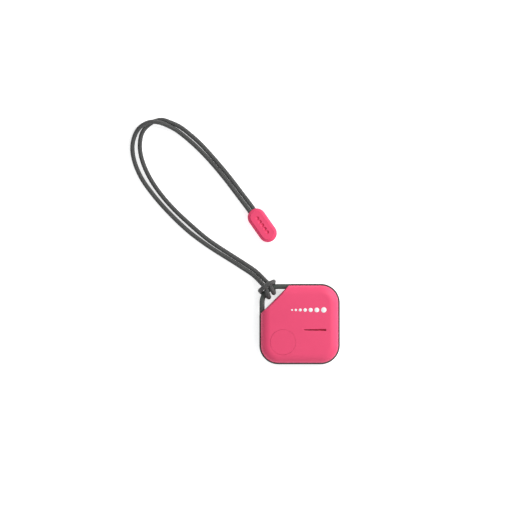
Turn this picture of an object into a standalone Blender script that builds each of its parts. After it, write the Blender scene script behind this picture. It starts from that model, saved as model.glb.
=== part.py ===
"""A Bluetooth tracker tag with a doubled wrist cord, lying on its back.

Metres, +Z up. The origin is the middle of the tag's rear face. +Z comes out of the front cover and +Y
points to the side that the strap leaves from. The tag is a tray and a pillowed cover round a coin cell,
a circuit board, a push button and a piezo buzzer. The cord is hitched on the loop bar at the tag's
corner, and both of its ends are held in a small two-piece cord end.
"""
import math

import bmesh
import bpy
from mathutils import Vector

MM = 0.001
GAP = 0.1 * MM                    # between pieces that touch
ROUND_STEPS = 40

# The tag's outline: a rounded square with one corner cut off by a diagonal wall.
TAG_SIDE = 36.0 * MM
TAG_CORNER = 8.5 * MM
TAG_HEIGHT = 9.0 * MM
CUT_DISTANCE = 15.6 * MM          # from the tag's middle to the diagonal wall
CUT_CORNER = 1.2 * MM             # rounding where the diagonal meets a side
CORNER_STEPS = 6

# Rear tray.
REAR_EDGE = 2.0 * MM
FLOOR_TOP = 1.3 * MM
TRAY_WALL = 1.6 * MM
LEDGE_TOP = 4.4 * MM
RIM_TOP = 5.2 * MM
RIM_WIDTH = 0.55 * MM
CUT_RIM_TOP = 4.9 * MM            # on the diagonal the rim is low and the cover comes out over it
CUT_RIM_WIDTH = 0.7 * MM
POST_PLACE = 11.8 * MM
POST_RADIUS = 1.2 * MM
PIN_RADIUS = 0.5 * MM
PIN_TOP = 5.9 * MM

# Loop bar round the missing corner.
BAR_INSET = 1.2 * MM              # from the tag's outline to the bar's centre line
BAR_WIDTH = 2.3 * MM
BAR_LOW = 2.45 * MM
BAR_HIGH = 5.15 * MM
BAR_EDGE = 0.9 * MM
BAR_ROOT = 3.2 * MM               # how near the tag's middle lines the bar's ends reach

# Front cover.
COVER_INSET = 0.7 * MM            # on the diagonal the cover is flush with the tray
COVER_WALL = 1.1 * MM
COVER_BOTTOM = 5.0 * MM
DOME_BOTTOM = 5.6 * MM
DOME_WIDTH = 4.25 * MM
CUT_DOME_WIDTH = 0.7 * MM
INNER_DOME_SAVING = 0.25 * MM     # how much narrower the dome is inside than outside
COVER_CEILING = 7.8 * MM
SLOT_PLACE = (6.9 * MM, -2.5 * MM)
SLOT_LENGTH = 10.0 * MM
SLOT_WIDTHS = (0.4 * MM, 0.9 * MM)

# Button, its pad and the switch beneath.
BUTTON_PLACE = (-7.5 * MM, -8.0 * MM)
BUTTON_RADIUS = 5.6 * MM
BUTTON_GAP = 0.12 * MM
FLANGE_RADIUS = 6.0 * MM
FLANGE_TOP = 7.4 * MM
FLANGE_BOTTOM = 7.1 * MM
BUTTON_POST_BOTTOM = 7.3 * MM
PLUNGER_TOP = 6.85 * MM

# Battery door: a bayonet disc with three lugs, in a stepped opening.
DOOR_PLACE = (1.0 * MM, -1.0 * MM)
DOOR_FACE = 0.1 * MM
DOOR_FLANGE = 13.1 * MM
DOOR_FLANGE_TOP = 0.6 * MM
DOOR_PLUG = 11.2 * MM
DOOR_RIM_TOP = 1.9 * MM
DOOR_CLEARANCE = 0.2 * MM
RECESS_TOP = 0.75 * MM
LUG_RADIUS = 12.15 * MM
LUG_BOTTOM = 1.45 * MM
LUG_DEGREES = (90.0, 210.0, 330.0)
LUG_WIDTH_DEGREES = 24.0
DOOR_TURN_DEGREES = 30.0
SEAL_RADIUS = 12.55 * MM

# Coin cell.
CELL_RADIUS = 10.0 * MM
CELL_BOTTOM = 1.45 * MM
CELL_TOP = 4.65 * MM
CELL_SKIN = 0.3 * MM
HOLDER_OUTER = 12.2 * MM
HOLDER_BOTTOM = 2.05 * MM
HOLDER_TOP = 4.85 * MM
CONTACT_DEGREES = 45.0

# Circuit board.
BOARD_INSET = 2.2 * MM
BOARD_BOTTOM = 5.0 * MM
BOARD_TOP = 5.6 * MM

# Buzzer, under the sound slot.
BUZZER_PLACE = (6.6 * MM, -2.5 * MM)
BUZZER_RADIUS = 6.4 * MM

# Cord and cord end.
CORD_RADIUS = 1.0 * MM
KNOT_DEGREES = 125.0              # where on the bar's arc the knot sits
KNOT_SPACING = 1.35 * MM
STRAND_SPACING = 4.5 * MM
HINGE_GAP = 2.2 * MM              # between the knot's tube and each strand's tube, to let the strap fold
CORD_END_PLACE = (-16.69 * MM, 44.25 * MM)
CORD_END_AXIS = (0.575, -0.818)   # from the end that the cord enters to the other end
CORD_END_LENGTH = 16.8 * MM
CORD_END_WIDTH = 8.2 * MM
CORD_END_SPLIT = 2.1 * MM
CORD_END_HEIGHT = 4.2 * MM
CHANNEL_DEPTH = 8.0 * MM

# The cord's way through the knot: outward from the bar's centre line, along the bar, and height, in mm.
# The pair comes in over the bar, goes round its inner side and beneath it, and crosses over itself.
KNOT_ROUTE = (
    (4.20, -0.73, 3.62), (3.10, -0.70, 4.50), (2.00, -0.68, 5.42), (0.80, -0.85, 6.20),
    (-0.45, -1.45, 6.32), (-1.65, -2.30, 5.75), (-2.36, -2.95, 4.50), (-2.36, -3.15, 3.00),
    (-1.55, -3.20, 1.68), (-0.15, -3.10, 1.24),
    (1.30, -2.95, 1.62), (2.25, -2.80, 2.85), (2.50, -2.72, 4.40), (2.40, -2.35, 6.20), (2.30, -1.25, 7.62),
    (2.25, 0.22, 7.85), (2.30, 1.68, 7.62), (2.40, 2.72, 6.20), (2.45, 2.88, 4.40), (2.25, 2.80, 2.85),
    (1.30, 2.50, 1.62), (-0.15, 2.10, 1.24), (-1.55, 1.70, 1.68), (-2.36, 1.42, 3.00), (-2.36, 1.22, 4.50),
    (-1.65, 1.15, 5.75), (-0.45, 1.12, 6.32), (0.80, 1.16, 6.20), (2.00, 1.12, 5.42), (3.10, 0.82, 4.50),
    (4.20, 0.60, 3.62),
)

# The two strands' ways over the table, from the knot to inside the cord end, in mm.
STRAND_A_ROUTE = (
    (-18.37, 19.67, 2.30), (-19.75, 21.04, 1.40), (-21.44, 22.43, 1.08), (-25.32, 25.03, 1.02),
    (-29.50, 27.72, 1.02), (-38.06, 33.06, 1.02), (-43.30, 36.60, 1.02), (-50.20, 41.90, 1.02),
    (-58.60, 49.90, 1.02), (-65.70, 58.00, 1.02), (-71.30, 66.10, 1.02), (-74.40, 74.10, 1.02),
    (-74.95, 80.30, 1.06), (-73.43, 85.66, 1.36), (-71.00, 88.64, 2.50), (-67.00, 90.50, 3.12),
    (-63.00, 90.30, 3.05), (-59.42, 89.10, 2.30), (-55.38, 87.02, 1.28), (-51.80, 84.35, 1.06),
    (-46.13, 79.37, 1.02), (-40.47, 73.53, 1.02), (-33.72, 65.56, 1.04), (-27.50, 57.40, 1.12),
    (-24.40, 53.30, 1.55), (-22.40, 50.56, 2.10), (-20.60, 48.00, 2.10), (-18.40, 44.87, 2.10),
)
STRAND_B_ROUTE = (
    (-16.68, 20.83, 2.30), (-18.10, 22.26, 1.40), (-20.25, 24.10, 1.08), (-24.20, 26.75, 1.02),
    (-28.40, 29.45, 1.02), (-36.90, 34.90, 1.02), (-41.70, 38.30, 1.02), (-49.20, 44.70, 1.02),
    (-56.20, 51.30, 1.02), (-62.10, 58.00, 1.02), (-67.50, 66.10, 1.02), (-70.80, 74.10, 1.02),
    (-71.65, 80.00, 1.02), (-70.73, 85.46, 1.02), (-68.70, 88.44, 1.02), (-65.50, 90.80, 1.02),
    (-61.70, 91.60, 1.02), (-58.45, 90.64, 1.02), (-53.45, 88.35, 1.02), (-48.10, 84.18, 1.02),
    (-44.50, 80.90, 1.02), (-39.00, 74.95, 1.02), (-32.10, 66.80, 1.04), (-25.85, 58.65, 1.12),
    (-22.70, 54.50, 1.55), (-20.70, 51.76, 2.10), (-18.90, 49.20, 2.10), (-16.70, 46.07, 2.10),
)


# ---------------------------------------------------------------- materials

def plain_material(name, colour, roughness, metallic=0.0):
    made = bpy.data.materials.new(name)
    made.use_nodes = True
    shader = made.node_tree.nodes["Principled BSDF"]
    shader.inputs["Base Color"].default_value = (*colour, 1.0)
    shader.inputs["Roughness"].default_value = roughness
    shader.inputs["Metallic"].default_value = metallic
    return made


def make_materials():
    return {
        "cover_pink": plain_material("cover_pink", (0.80, 0.09, 0.20), 0.45),
        "tray_grey": plain_material("tray_grey", (0.085, 0.083, 0.080), 0.5),
        "cord_grey": plain_material("cord_grey", (0.10, 0.10, 0.105), 0.85),
        "cord_end_pink": plain_material("cord_end_pink", (0.80, 0.09, 0.20), 0.5),
        "door_grey": plain_material("door_grey", (0.075, 0.074, 0.072), 0.5),
        "board_green": plain_material("board_green", (0.02, 0.14, 0.06), 0.4),
        "chip_black": plain_material("chip_black", (0.02, 0.02, 0.022), 0.4),
        "ceramic_white": plain_material("ceramic_white", (0.75, 0.73, 0.68), 0.5),
        "steel": plain_material("steel", (0.62, 0.62, 0.62), 0.3, 1.0),
        "brass": plain_material("brass", (0.72, 0.52, 0.20), 0.3, 1.0),
        "rubber_black": plain_material("rubber_black", (0.02, 0.02, 0.02), 0.7),
        "silicone_grey": plain_material("silicone_grey", (0.45, 0.45, 0.47), 0.6),
        "cell_powder": plain_material("cell_powder", (0.04, 0.04, 0.04), 0.8),
        "holder_black": plain_material("holder_black", (0.03, 0.03, 0.03), 0.5),
    }


# ---------------------------------------------------------------- shapes

def add_object(name, mesh_data, material):
    mesh = bpy.data.meshes.new(name)
    bmesh.ops.recalc_face_normals(mesh_data, faces=mesh_data.faces)
    mesh_data.to_mesh(mesh)
    mesh_data.free()
    mesh.shade_smooth()
    mesh.set_sharp_from_angle(angle=math.radians(35))
    if material:
        mesh.materials.append(material)
    made = bpy.data.objects.new(name, mesh)
    bpy.context.collection.objects.link(made)
    return made


def loft(name, rings, material=None, joined=False):
    """Skin a row of rings of points. The two ends are capped, or joined to make a closed ring."""
    skin = bmesh.new()
    layers = [[skin.verts.new(point) for point in ring] for ring in rings]
    pairs = list(zip(layers, layers[1:]))
    if joined:
        pairs.append((layers[-1], layers[0]))
    for low, high in pairs:
        for i in range(len(low)):
            after = (i + 1) % len(low)
            skin.faces.new((low[i], low[after], high[after], high[i]))
    if not joined:
        skin.faces.new(reversed(layers[0]))
        skin.faces.new(layers[-1])
    return add_object(name, skin, material)


def turned(name, profile, place, material=None, steps=ROUND_STEPS, ring=False):
    """Turn a profile of (radius, height) about +Z. A ring's profile is closed, others end at radius 0."""
    skin = bmesh.new()
    layers = []
    for radius, height in profile:
        count = steps if radius > 0 else 1
        layers.append([
            skin.verts.new((
                place[0] + radius * math.cos(math.tau * i / steps),
                place[1] + radius * math.sin(math.tau * i / steps),
                height,
            ))
            for i in range(count)
        ])
    pairs = list(zip(layers, layers[1:]))
    if ring:
        pairs.append((layers[-1], layers[0]))
    for low, high in pairs:
        for i in range(steps):
            after = (i + 1) % steps
            corners = [low[i % len(low)], low[after % len(low)], high[after % len(high)], high[i % len(high)]]
            skin.faces.new(list(dict.fromkeys(corners)))
    return add_object(name, skin, material)


def disc(name, radius, low, high, place, material=None, steps=ROUND_STEPS):
    return turned(name, [(0, low), (radius, low), (radius, high), (0, high)], place, material, steps)


def hoop(name, inner, outer, low, high, place, material=None, steps=ROUND_STEPS):
    profile = [(inner, low), (outer, low), (outer, high), (inner, high)]
    return turned(name, profile, place, material, steps, ring=True)


def prism(name, outline, low, high, material=None):
    rings = [[(x, y, height) for x, y in outline] for height in (low, high)]
    return loft(name, rings, material)


def block(name, size, place, low, high, material=None):
    half_x = size[0] / 2
    half_y = size[1] / 2
    outline = [
        (place[0] + side_x * half_x, place[1] + side_y * half_y)
        for side_x, side_y in ((-1, -1), (1, -1), (1, 1), (-1, 1))
    ]
    return prism(name, outline, low, high, material)


def rounded_polygon(corners, radii, steps=CORNER_STEPS):
    """Outline of a convex polygon, counter-clockwise, with an arc at each corner."""
    outline = []
    for i, corner in enumerate(corners):
        here = Vector(corner)
        back = (Vector(corners[i - 1]) - here).normalized()
        ahead = (Vector(corners[(i + 1) % len(corners)]) - here).normalized()
        half_angle = back.angle(ahead) / 2
        centre = here + (back + ahead).normalized() * radii[i] / math.sin(half_angle)
        start = here + back * radii[i] / math.tan(half_angle) - centre
        first = math.atan2(start.y, start.x)
        sweep = math.pi - 2 * half_angle
        for k in range(steps + 1):
            angle = first + sweep * k / steps
            outline.append((centre.x + radii[i] * math.cos(angle), centre.y + radii[i] * math.sin(angle)))
    return outline


def stadium(length, width, place=(0, 0), steps=10, start_width=None):
    """Outline of a bar with half-round ends, along X. Its end at -X may have a width of its own."""
    ends = ((1, width / 2, -math.pi / 2), (-1, (start_width or width) / 2, math.pi / 2))
    outline = []
    for side, radius, first in ends:
        for k in range(steps + 1):
            angle = first + math.pi * k / steps
            outline.append((
                place[0] + side * (length / 2 - radius) + radius * math.cos(angle),
                place[1] + radius * math.sin(angle),
            ))
    return outline


def tag_outline(inset, cut_inset=None):
    """The tag's outline moved inwards by an inset. The diagonal wall may have an inset of its own."""
    half = TAG_SIDE / 2 - inset
    cut = (CUT_DISTANCE - (inset if cut_inset is None else cut_inset)) * math.sqrt(2)
    corners = [(-half, -half), (half, -half), (half, half), (half - cut, half), (-half, cut - half)]
    round_corner = TAG_CORNER - inset
    cut_corner = max(CUT_CORNER - inset, 0.3 * MM)
    return rounded_polygon(corners, [round_corner] * 3 + [cut_corner] * 2)


def tag_ring(inset, height, cut_inset=None):
    return [(x, y, height) for x, y in tag_outline(inset, cut_inset)]


def bent_strip(name, path, width, thickness, place, degrees, material):
    """Sheet metal bent along a path of (distance, height) points and turned about +Z to its direction."""
    points = [Vector(point) for point in path]
    normals = []
    for i in range(len(points)):
        run = points[min(i + 1, len(points) - 1)] - points[max(i - 1, 0)]
        normals.append(Vector((-run.y, run.x)).normalized() * thickness / 2)
    along = Vector((math.cos(math.radians(degrees)), math.sin(math.radians(degrees)), 0))
    across = Vector((-along.y, along.x, 0)) * width / 2
    base = Vector((place[0], place[1], 0))
    rings = []
    for point, normal in zip(points, normals):
        over = base + along * (point.x + normal.x) + Vector((0, 0, point.y + normal.y))
        under = base + along * (point.x - normal.x) + Vector((0, 0, point.y - normal.y))
        rings.append([over - across, over + across, under + across, under - across])
    return loft(name, rings, material)


def wedge(name, inner, outer, middle_degrees, width_degrees, low, high, place):
    """A block that follows a circle, from an inner to an outer radius."""
    steps = 6
    angles = [
        math.radians(middle_degrees - width_degrees / 2 + width_degrees * k / steps)
        for k in range(steps + 1)
    ]
    arc = [(place[0] + outer * math.cos(a), place[1] + outer * math.sin(a)) for a in angles]
    arc += [(place[0] + inner * math.cos(a), place[1] + inner * math.sin(a)) for a in reversed(angles)]
    return prism(name, arc, low, high)


def combine(target, other, operation):
    """Join another shape to the target or cut it out of it. The other shape is a guide and isn't a piece."""
    modifier = target.modifiers.new(other.name, "BOOLEAN")
    modifier.operation = operation
    modifier.solver = "EXACT"
    modifier.object = other
    other.hide_render = True
    other.display_type = "WIRE"


def hang_on_pivot(name, place, pieces, carrier=None):
    """Put an empty on a joint's axis, and parent the moving pieces and their cutters to it."""
    pivot = bpy.data.objects.new(name, None)
    pivot.empty_display_size = 5 * MM
    bpy.context.collection.objects.link(pivot)
    pivot.location = Vector(place)
    for piece in pieces:
        shapes = [piece] + [modifier.object for modifier in piece.modifiers if modifier.type == "BOOLEAN"]
        for shape in shapes:
            if shape.parent is None:
                shape.parent = pivot
                shape.location -= Vector(place)
    if carrier:
        pivot.parent = carrier
        pivot.location -= carrier.location
    return pivot


# ---------------------------------------------------------------- tray and cover

def loop_bar():
    """The bar that carries the tag's rounded corner on past the diagonal wall."""
    line = TAG_SIDE / 2 - BAR_INSET
    centre = TAG_SIDE / 2 - TAG_CORNER
    radius = TAG_CORNER - BAR_INSET
    steps = 20
    path = [(Vector((-line, BAR_ROOT)), Vector((-1, 0)))]
    for k in range(steps + 1):
        angle = math.pi - math.pi / 2 * k / steps
        outward = Vector((math.cos(angle), math.sin(angle)))
        path.append((Vector((-centre, centre)) + outward * radius, outward))
    path.append((Vector((-BAR_ROOT, line)), Vector((0, 1))))

    middle = (BAR_LOW + BAR_HIGH) / 2
    half_width = BAR_WIDTH / 2
    half_height = (BAR_HIGH - BAR_LOW) / 2
    corners = [(-half_width, -half_height), (half_width, -half_height), (half_width, half_height),
               (-half_width, half_height)]
    section = rounded_polygon(corners, [BAR_EDGE] * 4, steps=4)
    rings = [
        [(*(point + outward * across), middle + height) for across, height in section]
        for point, outward in path
    ]
    return loft("loop_bar_shape", rings)


def rear_shell(materials):
    edge_steps = 5
    rings = []
    for k in range(edge_steps + 1):
        angle = math.pi / 2 * k / edge_steps
        rings.append(tag_ring(REAR_EDGE * (1 - math.sin(angle)), REAR_EDGE * (1 - math.cos(angle))))
    rings.append(tag_ring(0, RIM_TOP - 0.15 * MM))
    rings.append(tag_ring(0.15 * MM, RIM_TOP))
    shell = loft("rear_shell", rings, materials["tray_grey"])
    combine(shell, loop_bar(), "UNION")

    cavity = loft("tray_cavity", [
        tag_ring(TRAY_WALL, FLOOR_TOP),
        tag_ring(TRAY_WALL, LEDGE_TOP),
        tag_ring(RIM_WIDTH, LEDGE_TOP, CUT_RIM_WIDTH),
        tag_ring(RIM_WIDTH, RIM_TOP + 1 * MM, CUT_RIM_WIDTH),
    ])
    combine(shell, cavity, "DIFFERENCE")
    cover_step = prism("cover_step", tag_outline(RIM_WIDTH + GAP, -GAP), CUT_RIM_TOP, RIM_TOP + 1 * MM)
    combine(shell, cover_step, "DIFFERENCE")
    for side_x, side_y in ((1, 1), (1, -1), (-1, -1)):
        profile = [(0, FLOOR_TOP - 0.4 * MM), (POST_RADIUS, FLOOR_TOP - 0.4 * MM),
                   (POST_RADIUS, BOARD_BOTTOM - GAP), (PIN_RADIUS, BOARD_BOTTOM - GAP),
                   (PIN_RADIUS, PIN_TOP), (0, PIN_TOP)]
        place = (side_x * POST_PLACE, side_y * POST_PLACE)
        combine(shell, turned(f"board_post_{side_x}_{side_y}", profile, place, steps=16), "UNION")
    combine(shell, door_recess(), "DIFFERENCE")
    combine(shell, door_opening(), "DIFFERENCE")
    return shell


def door_recess():
    return disc("door_recess", DOOR_FLANGE + DOOR_CLEARANCE, -1 * MM, RECESS_TOP, DOOR_PLACE, steps=56)


def door_opening():
    """The round hole through the tray's floor, with a notch that lets each of the door's lugs out."""
    hole = DOOR_PLUG + DOOR_CLEARANCE
    notch = LUG_RADIUS + DOOR_CLEARANCE
    notch_width = LUG_WIDTH_DEGREES + 3.0
    outline = []
    for i, lug in enumerate(LUG_DEGREES):
        middle = lug - DOOR_TURN_DEGREES
        following = LUG_DEGREES[(i + 1) % len(LUG_DEGREES)] + (360.0 if i == len(LUG_DEGREES) - 1 else 0.0)
        stretches = (
            (notch, middle - notch_width / 2, middle + notch_width / 2, 6),
            (hole, middle + notch_width / 2, following - DOOR_TURN_DEGREES - notch_width / 2, 14),
        )
        for radius, first, last, steps in stretches:
            for k in range(steps + 1):
                angle = math.radians(first + (last - first) * k / steps)
                outline.append((
                    DOOR_PLACE[0] + radius * math.cos(angle),
                    DOOR_PLACE[1] + radius * math.sin(angle),
                ))
    return prism("door_opening", outline, RECESS_TOP - 0.2 * MM, FLOOR_TOP + 1 * MM)


def cover_seal(materials):
    inner = 1.5 * MM
    outer = RIM_WIDTH + GAP
    cut_outer = CUT_RIM_WIDTH + GAP
    low = LEDGE_TOP + GAP
    high = COVER_BOTTOM - GAP
    rings = [tag_ring(outer, low, cut_outer), tag_ring(outer, high, cut_outer), tag_ring(inner, high),
             tag_ring(inner, low)]
    return loft("cover_seal", rings, materials["rubber_black"], joined=True)


def dome_rings(wall, saving, top, steps):
    """Rings of a quarter ellipse that starts upright, a wall's width in from the cover, and ends flat."""
    rings = []
    for k in range(steps + 1):
        angle = math.pi / 2 * k / steps
        inset = COVER_INSET + wall + (DOME_WIDTH - saving) * (1 - math.cos(angle))
        cut_inset = wall + (CUT_DOME_WIDTH - saving) * (1 - math.cos(angle))
        rings.append(tag_ring(inset, DOME_BOTTOM + (top - DOME_BOTTOM) * math.sin(angle), cut_inset))
    return rings


def front_cover(materials):
    rings = list(reversed(dome_rings(COVER_WALL, INNER_DOME_SAVING, COVER_CEILING, 5)))
    rings.append(tag_ring(COVER_INSET + COVER_WALL, COVER_BOTTOM, COVER_WALL))
    rings.append(tag_ring(COVER_INSET, COVER_BOTTOM, 0))
    rings += dome_rings(0, 0, TAG_HEIGHT, 8)
    cover = loft("front_cover", rings, materials["cover_pink"])
    low = COVER_CEILING - 1 * MM
    high = TAG_HEIGHT + 1 * MM
    combine(cover, disc("button_hole", BUTTON_RADIUS + BUTTON_GAP, low, high, BUTTON_PLACE), "DIFFERENCE")
    slot_outline = stadium(SLOT_LENGTH, SLOT_WIDTHS[1], SLOT_PLACE, steps=4, start_width=SLOT_WIDTHS[0])
    slot = prism("sound_slot", slot_outline, low, high)
    combine(cover, slot, "DIFFERENCE")
    return cover


# ---------------------------------------------------------------- button and switch

def button_cap(materials):
    hollow = 5.0 * MM
    hollow_top = 7.9 * MM
    post = 1.8 * MM
    edge = 0.15 * MM
    profile = [
        (0, BUTTON_POST_BOTTOM), (post, BUTTON_POST_BOTTOM), (post, hollow_top), (hollow, hollow_top),
        (hollow, FLANGE_BOTTOM),
        (FLANGE_RADIUS, FLANGE_BOTTOM), (FLANGE_RADIUS, FLANGE_TOP), (BUTTON_RADIUS, FLANGE_TOP),
        (BUTTON_RADIUS, TAG_HEIGHT - edge), (BUTTON_RADIUS - edge, TAG_HEIGHT), (0, TAG_HEIGHT),
    ]
    return turned("button_cap", profile, BUTTON_PLACE, materials["cover_pink"])


def button_pad(materials):
    low = PLUNGER_TOP + GAP
    high = BUTTON_POST_BOTTOM - GAP
    return disc("button_pad", 1.7 * MM, low, high, BUTTON_PLACE, materials["silicone_grey"], 24)


def tact_switch(materials):
    base = BOARD_TOP + 0.05 * MM
    body = block("switch_body", (4.2 * MM, 3.8 * MM), BUTTON_PLACE, base, 6.4 * MM, materials["chip_black"])
    combine(body, disc("switch_well", 1.3 * MM, 5.95 * MM, 7.0 * MM, BUTTON_PLACE, steps=24), "DIFFERENCE")

    profile = [(0, 6.25 * MM), (1.15 * MM, 6.25 * MM), (1.15 * MM, 6.4 * MM), (0.85 * MM, 6.4 * MM),
               (0.85 * MM, PLUNGER_TOP), (0, PLUNGER_TOP)]
    plunger = turned("switch_plunger", profile, BUTTON_PLACE, materials["ceramic_white"], 24)

    reach = 2.28 * MM
    shoulder = 6.52 * MM
    path = [(-reach, 5.75 * MM), (-reach, shoulder), (reach, shoulder), (reach, 5.75 * MM)]
    frame = bent_strip("switch_frame", path, 3.4 * MM, 0.12 * MM, BUTTON_PLACE, 0, materials["steel"])
    combine(frame, disc("frame_hole", 1.0 * MM, 6.0 * MM, 7.0 * MM, BUTTON_PLACE, steps=24), "DIFFERENCE")
    return plunger


# ---------------------------------------------------------------- battery door and cell

def battery_door(materials):
    groove_inner = 12.3 * MM
    groove_outer = 12.8 * MM
    groove_floor = 0.3 * MM
    wall = 10.3 * MM
    profile = [
        (0, DOOR_FACE), (DOOR_FLANGE - 0.2 * MM, DOOR_FACE), (DOOR_FLANGE, DOOR_FACE + 0.2 * MM),
        (DOOR_FLANGE, DOOR_FLANGE_TOP), (groove_outer, DOOR_FLANGE_TOP), (groove_outer, groove_floor),
        (groove_inner, groove_floor), (groove_inner, DOOR_FLANGE_TOP), (DOOR_PLUG, DOOR_FLANGE_TOP),
        (DOOR_PLUG, DOOR_RIM_TOP), (wall, DOOR_RIM_TOP), (wall, FLOOR_TOP), (0, FLOOR_TOP),
    ]
    door = turned("battery_door", profile, DOOR_PLACE, materials["door_grey"], steps=56)
    for number, degrees in enumerate(LUG_DEGREES):
        lug = wedge(f"door_lug_{number}", DOOR_PLUG - 0.4 * MM, LUG_RADIUS, degrees, LUG_WIDTH_DEGREES,
                    LUG_BOTTOM, DOOR_RIM_TOP - 0.05 * MM, DOOR_PLACE)
        combine(door, lug, "UNION")
    slot_outline = stadium(13.0 * MM, 1.6 * MM, DOOR_PLACE, steps=6)
    coin_slot = prism("coin_slot", slot_outline, -1 * MM, DOOR_FACE + 0.6 * MM)
    combine(door, coin_slot, "DIFFERENCE")
    return door


def door_seal(materials):
    thickness = 0.17 * MM
    height = 0.51 * MM
    sides = 6
    angles = [math.tau * k / sides for k in range(sides)]
    profile = [(SEAL_RADIUS + thickness * math.cos(a), height + thickness * math.sin(a)) for a in angles]
    return turned("door_seal", profile, DOOR_PLACE, materials["rubber_black"], ring=True)


def coin_cell(materials):
    lip = 9.3 * MM
    can_top = 4.5 * MM
    edge = 0.15 * MM
    bottom = CELL_BOTTOM
    can = [
        (0, bottom), (CELL_RADIUS - edge, bottom), (CELL_RADIUS, bottom + edge),
        (CELL_RADIUS, can_top - edge), (CELL_RADIUS - edge, can_top), (lip, can_top),
        (lip, can_top - 0.25 * MM),
        (CELL_RADIUS - CELL_SKIN, can_top - 0.3 * MM), (CELL_RADIUS - CELL_SKIN, bottom + CELL_SKIN),
        (0, bottom + CELL_SKIN),
    ]
    turned("cell_can", can, DOOR_PLACE, materials["steel"])

    cap_radius = 8.6 * MM
    cap_low = 3.5 * MM
    gasket = [
        (cap_radius + GAP, cap_low - 0.1 * MM), (9.6 * MM, cap_low - 0.1 * MM), (9.6 * MM, 4.1 * MM),
        (lip - GAP, 4.1 * MM), (lip - GAP, can_top - 0.08 * MM), (cap_radius + GAP, can_top - 0.08 * MM),
    ]
    turned("cell_gasket", gasket, DOOR_PLACE, materials["rubber_black"], ring=True)

    skin = 0.25 * MM
    cap = [
        (0, CELL_TOP - skin), (cap_radius - skin, CELL_TOP - skin), (cap_radius - skin, cap_low),
        (cap_radius, cap_low), (cap_radius, CELL_TOP - edge), (cap_radius - edge, CELL_TOP), (0, CELL_TOP),
    ]
    turned("cell_cap", cap, DOOR_PLACE, materials["steel"])
    disc("cell_cathode", 9.4 * MM, bottom + CELL_SKIN + GAP, 3.2 * MM, DOOR_PLACE, materials["cell_powder"])
    disc("cell_anode", 8.2 * MM, cap_low, CELL_TOP - skin - GAP, DOOR_PLACE, materials["steel"])


def cell_holder(materials):
    inner = CELL_RADIUS + 0.35 * MM
    black = materials["holder_black"]
    holder = hoop("cell_holder", inner, HOLDER_OUTER, HOLDER_BOTTOM, HOLDER_TOP, DOOR_PLACE, black)
    notch = wedge("contact_notch", inner - 1 * MM, HOLDER_OUTER + 1 * MM, CONTACT_DEGREES, 26.0,
                  HOLDER_BOTTOM - 1 * MM, HOLDER_TOP + 1 * MM, DOOR_PLACE)
    combine(holder, notch, "DIFFERENCE")
    return holder


def cell_contacts(materials):
    steel = materials["steel"]
    side_clip = [(13.4 * MM, 4.86 * MM), (10.95 * MM, 4.86 * MM), (10.7 * MM, 4.7 * MM),
                 (10.27 * MM, 3.2 * MM), (10.45 * MM, 2.3 * MM)]
    bent_strip("positive_contact", side_clip, 3.0 * MM, 0.15 * MM, DOOR_PLACE, CONTACT_DEGREES, steel)
    leaf = [(-7.0 * MM, 4.9 * MM), (-5.0 * MM, 4.9 * MM), (-1.0 * MM, 4.76 * MM), (1.0 * MM, 4.76 * MM),
            (2.5 * MM, 4.86 * MM)]
    bent_strip("negative_contact", leaf, 4.0 * MM, 0.12 * MM, DOOR_PLACE, 0, steel)


# ---------------------------------------------------------------- circuit board and buzzer

def circuit_board(materials):
    green = materials["board_green"]
    board = prism("circuit_board", tag_outline(BOARD_INSET), BOARD_BOTTOM, BOARD_TOP, green)
    for side_x, side_y in ((1, 1), (1, -1), (-1, -1)):
        place = (side_x * POST_PLACE, side_y * POST_PLACE)
        hole = disc(f"board_hole_{side_x}_{side_y}", PIN_RADIUS + 0.15 * MM, BOARD_BOTTOM - 1 * MM,
                    BOARD_TOP + 1 * MM, place, steps=16)
        combine(board, hole, "DIFFERENCE")
    return board


def board_parts(materials):
    """The parts soldered to the board's upper side: name, size, place and height in mm, material."""
    base = BOARD_TOP + 0.05 * MM
    parts = (
        ("radio_chip", (5.0, 5.0), (-4.0, 6.0), 0.8, "chip_black"),
        ("crystal", (2.5, 2.0), (1.6, 8.6), 0.6, "steel"),
        ("chip_antenna", (7.0, 2.0), (7.5, 13.4), 1.0, "ceramic_white"),
        ("antenna_capacitor", (1.0, 0.5), (2.4, 13.4), 0.5, "ceramic_white"),
        ("antenna_inductor", (0.5, 1.0), (1.0, 12.2), 0.5, "chip_black"),
        ("buzzer_driver", (3.0, 3.0), (-4.5, -0.6), 0.8, "chip_black"),
        ("supply_capacitor", (1.6, 3.2), (-13.0, -1.0), 0.9, "ceramic_white"),
        ("boost_inductor", (3.0, 3.0), (-9.0, 2.4), 1.0, "chip_black"),
    )
    for name, size, place, height, material in parts:
        size_m = (size[0] * MM, size[1] * MM)
        place_m = (place[0] * MM, place[1] * MM)
        block(name, size_m, place_m, base, base + height * MM, materials[material])


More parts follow.
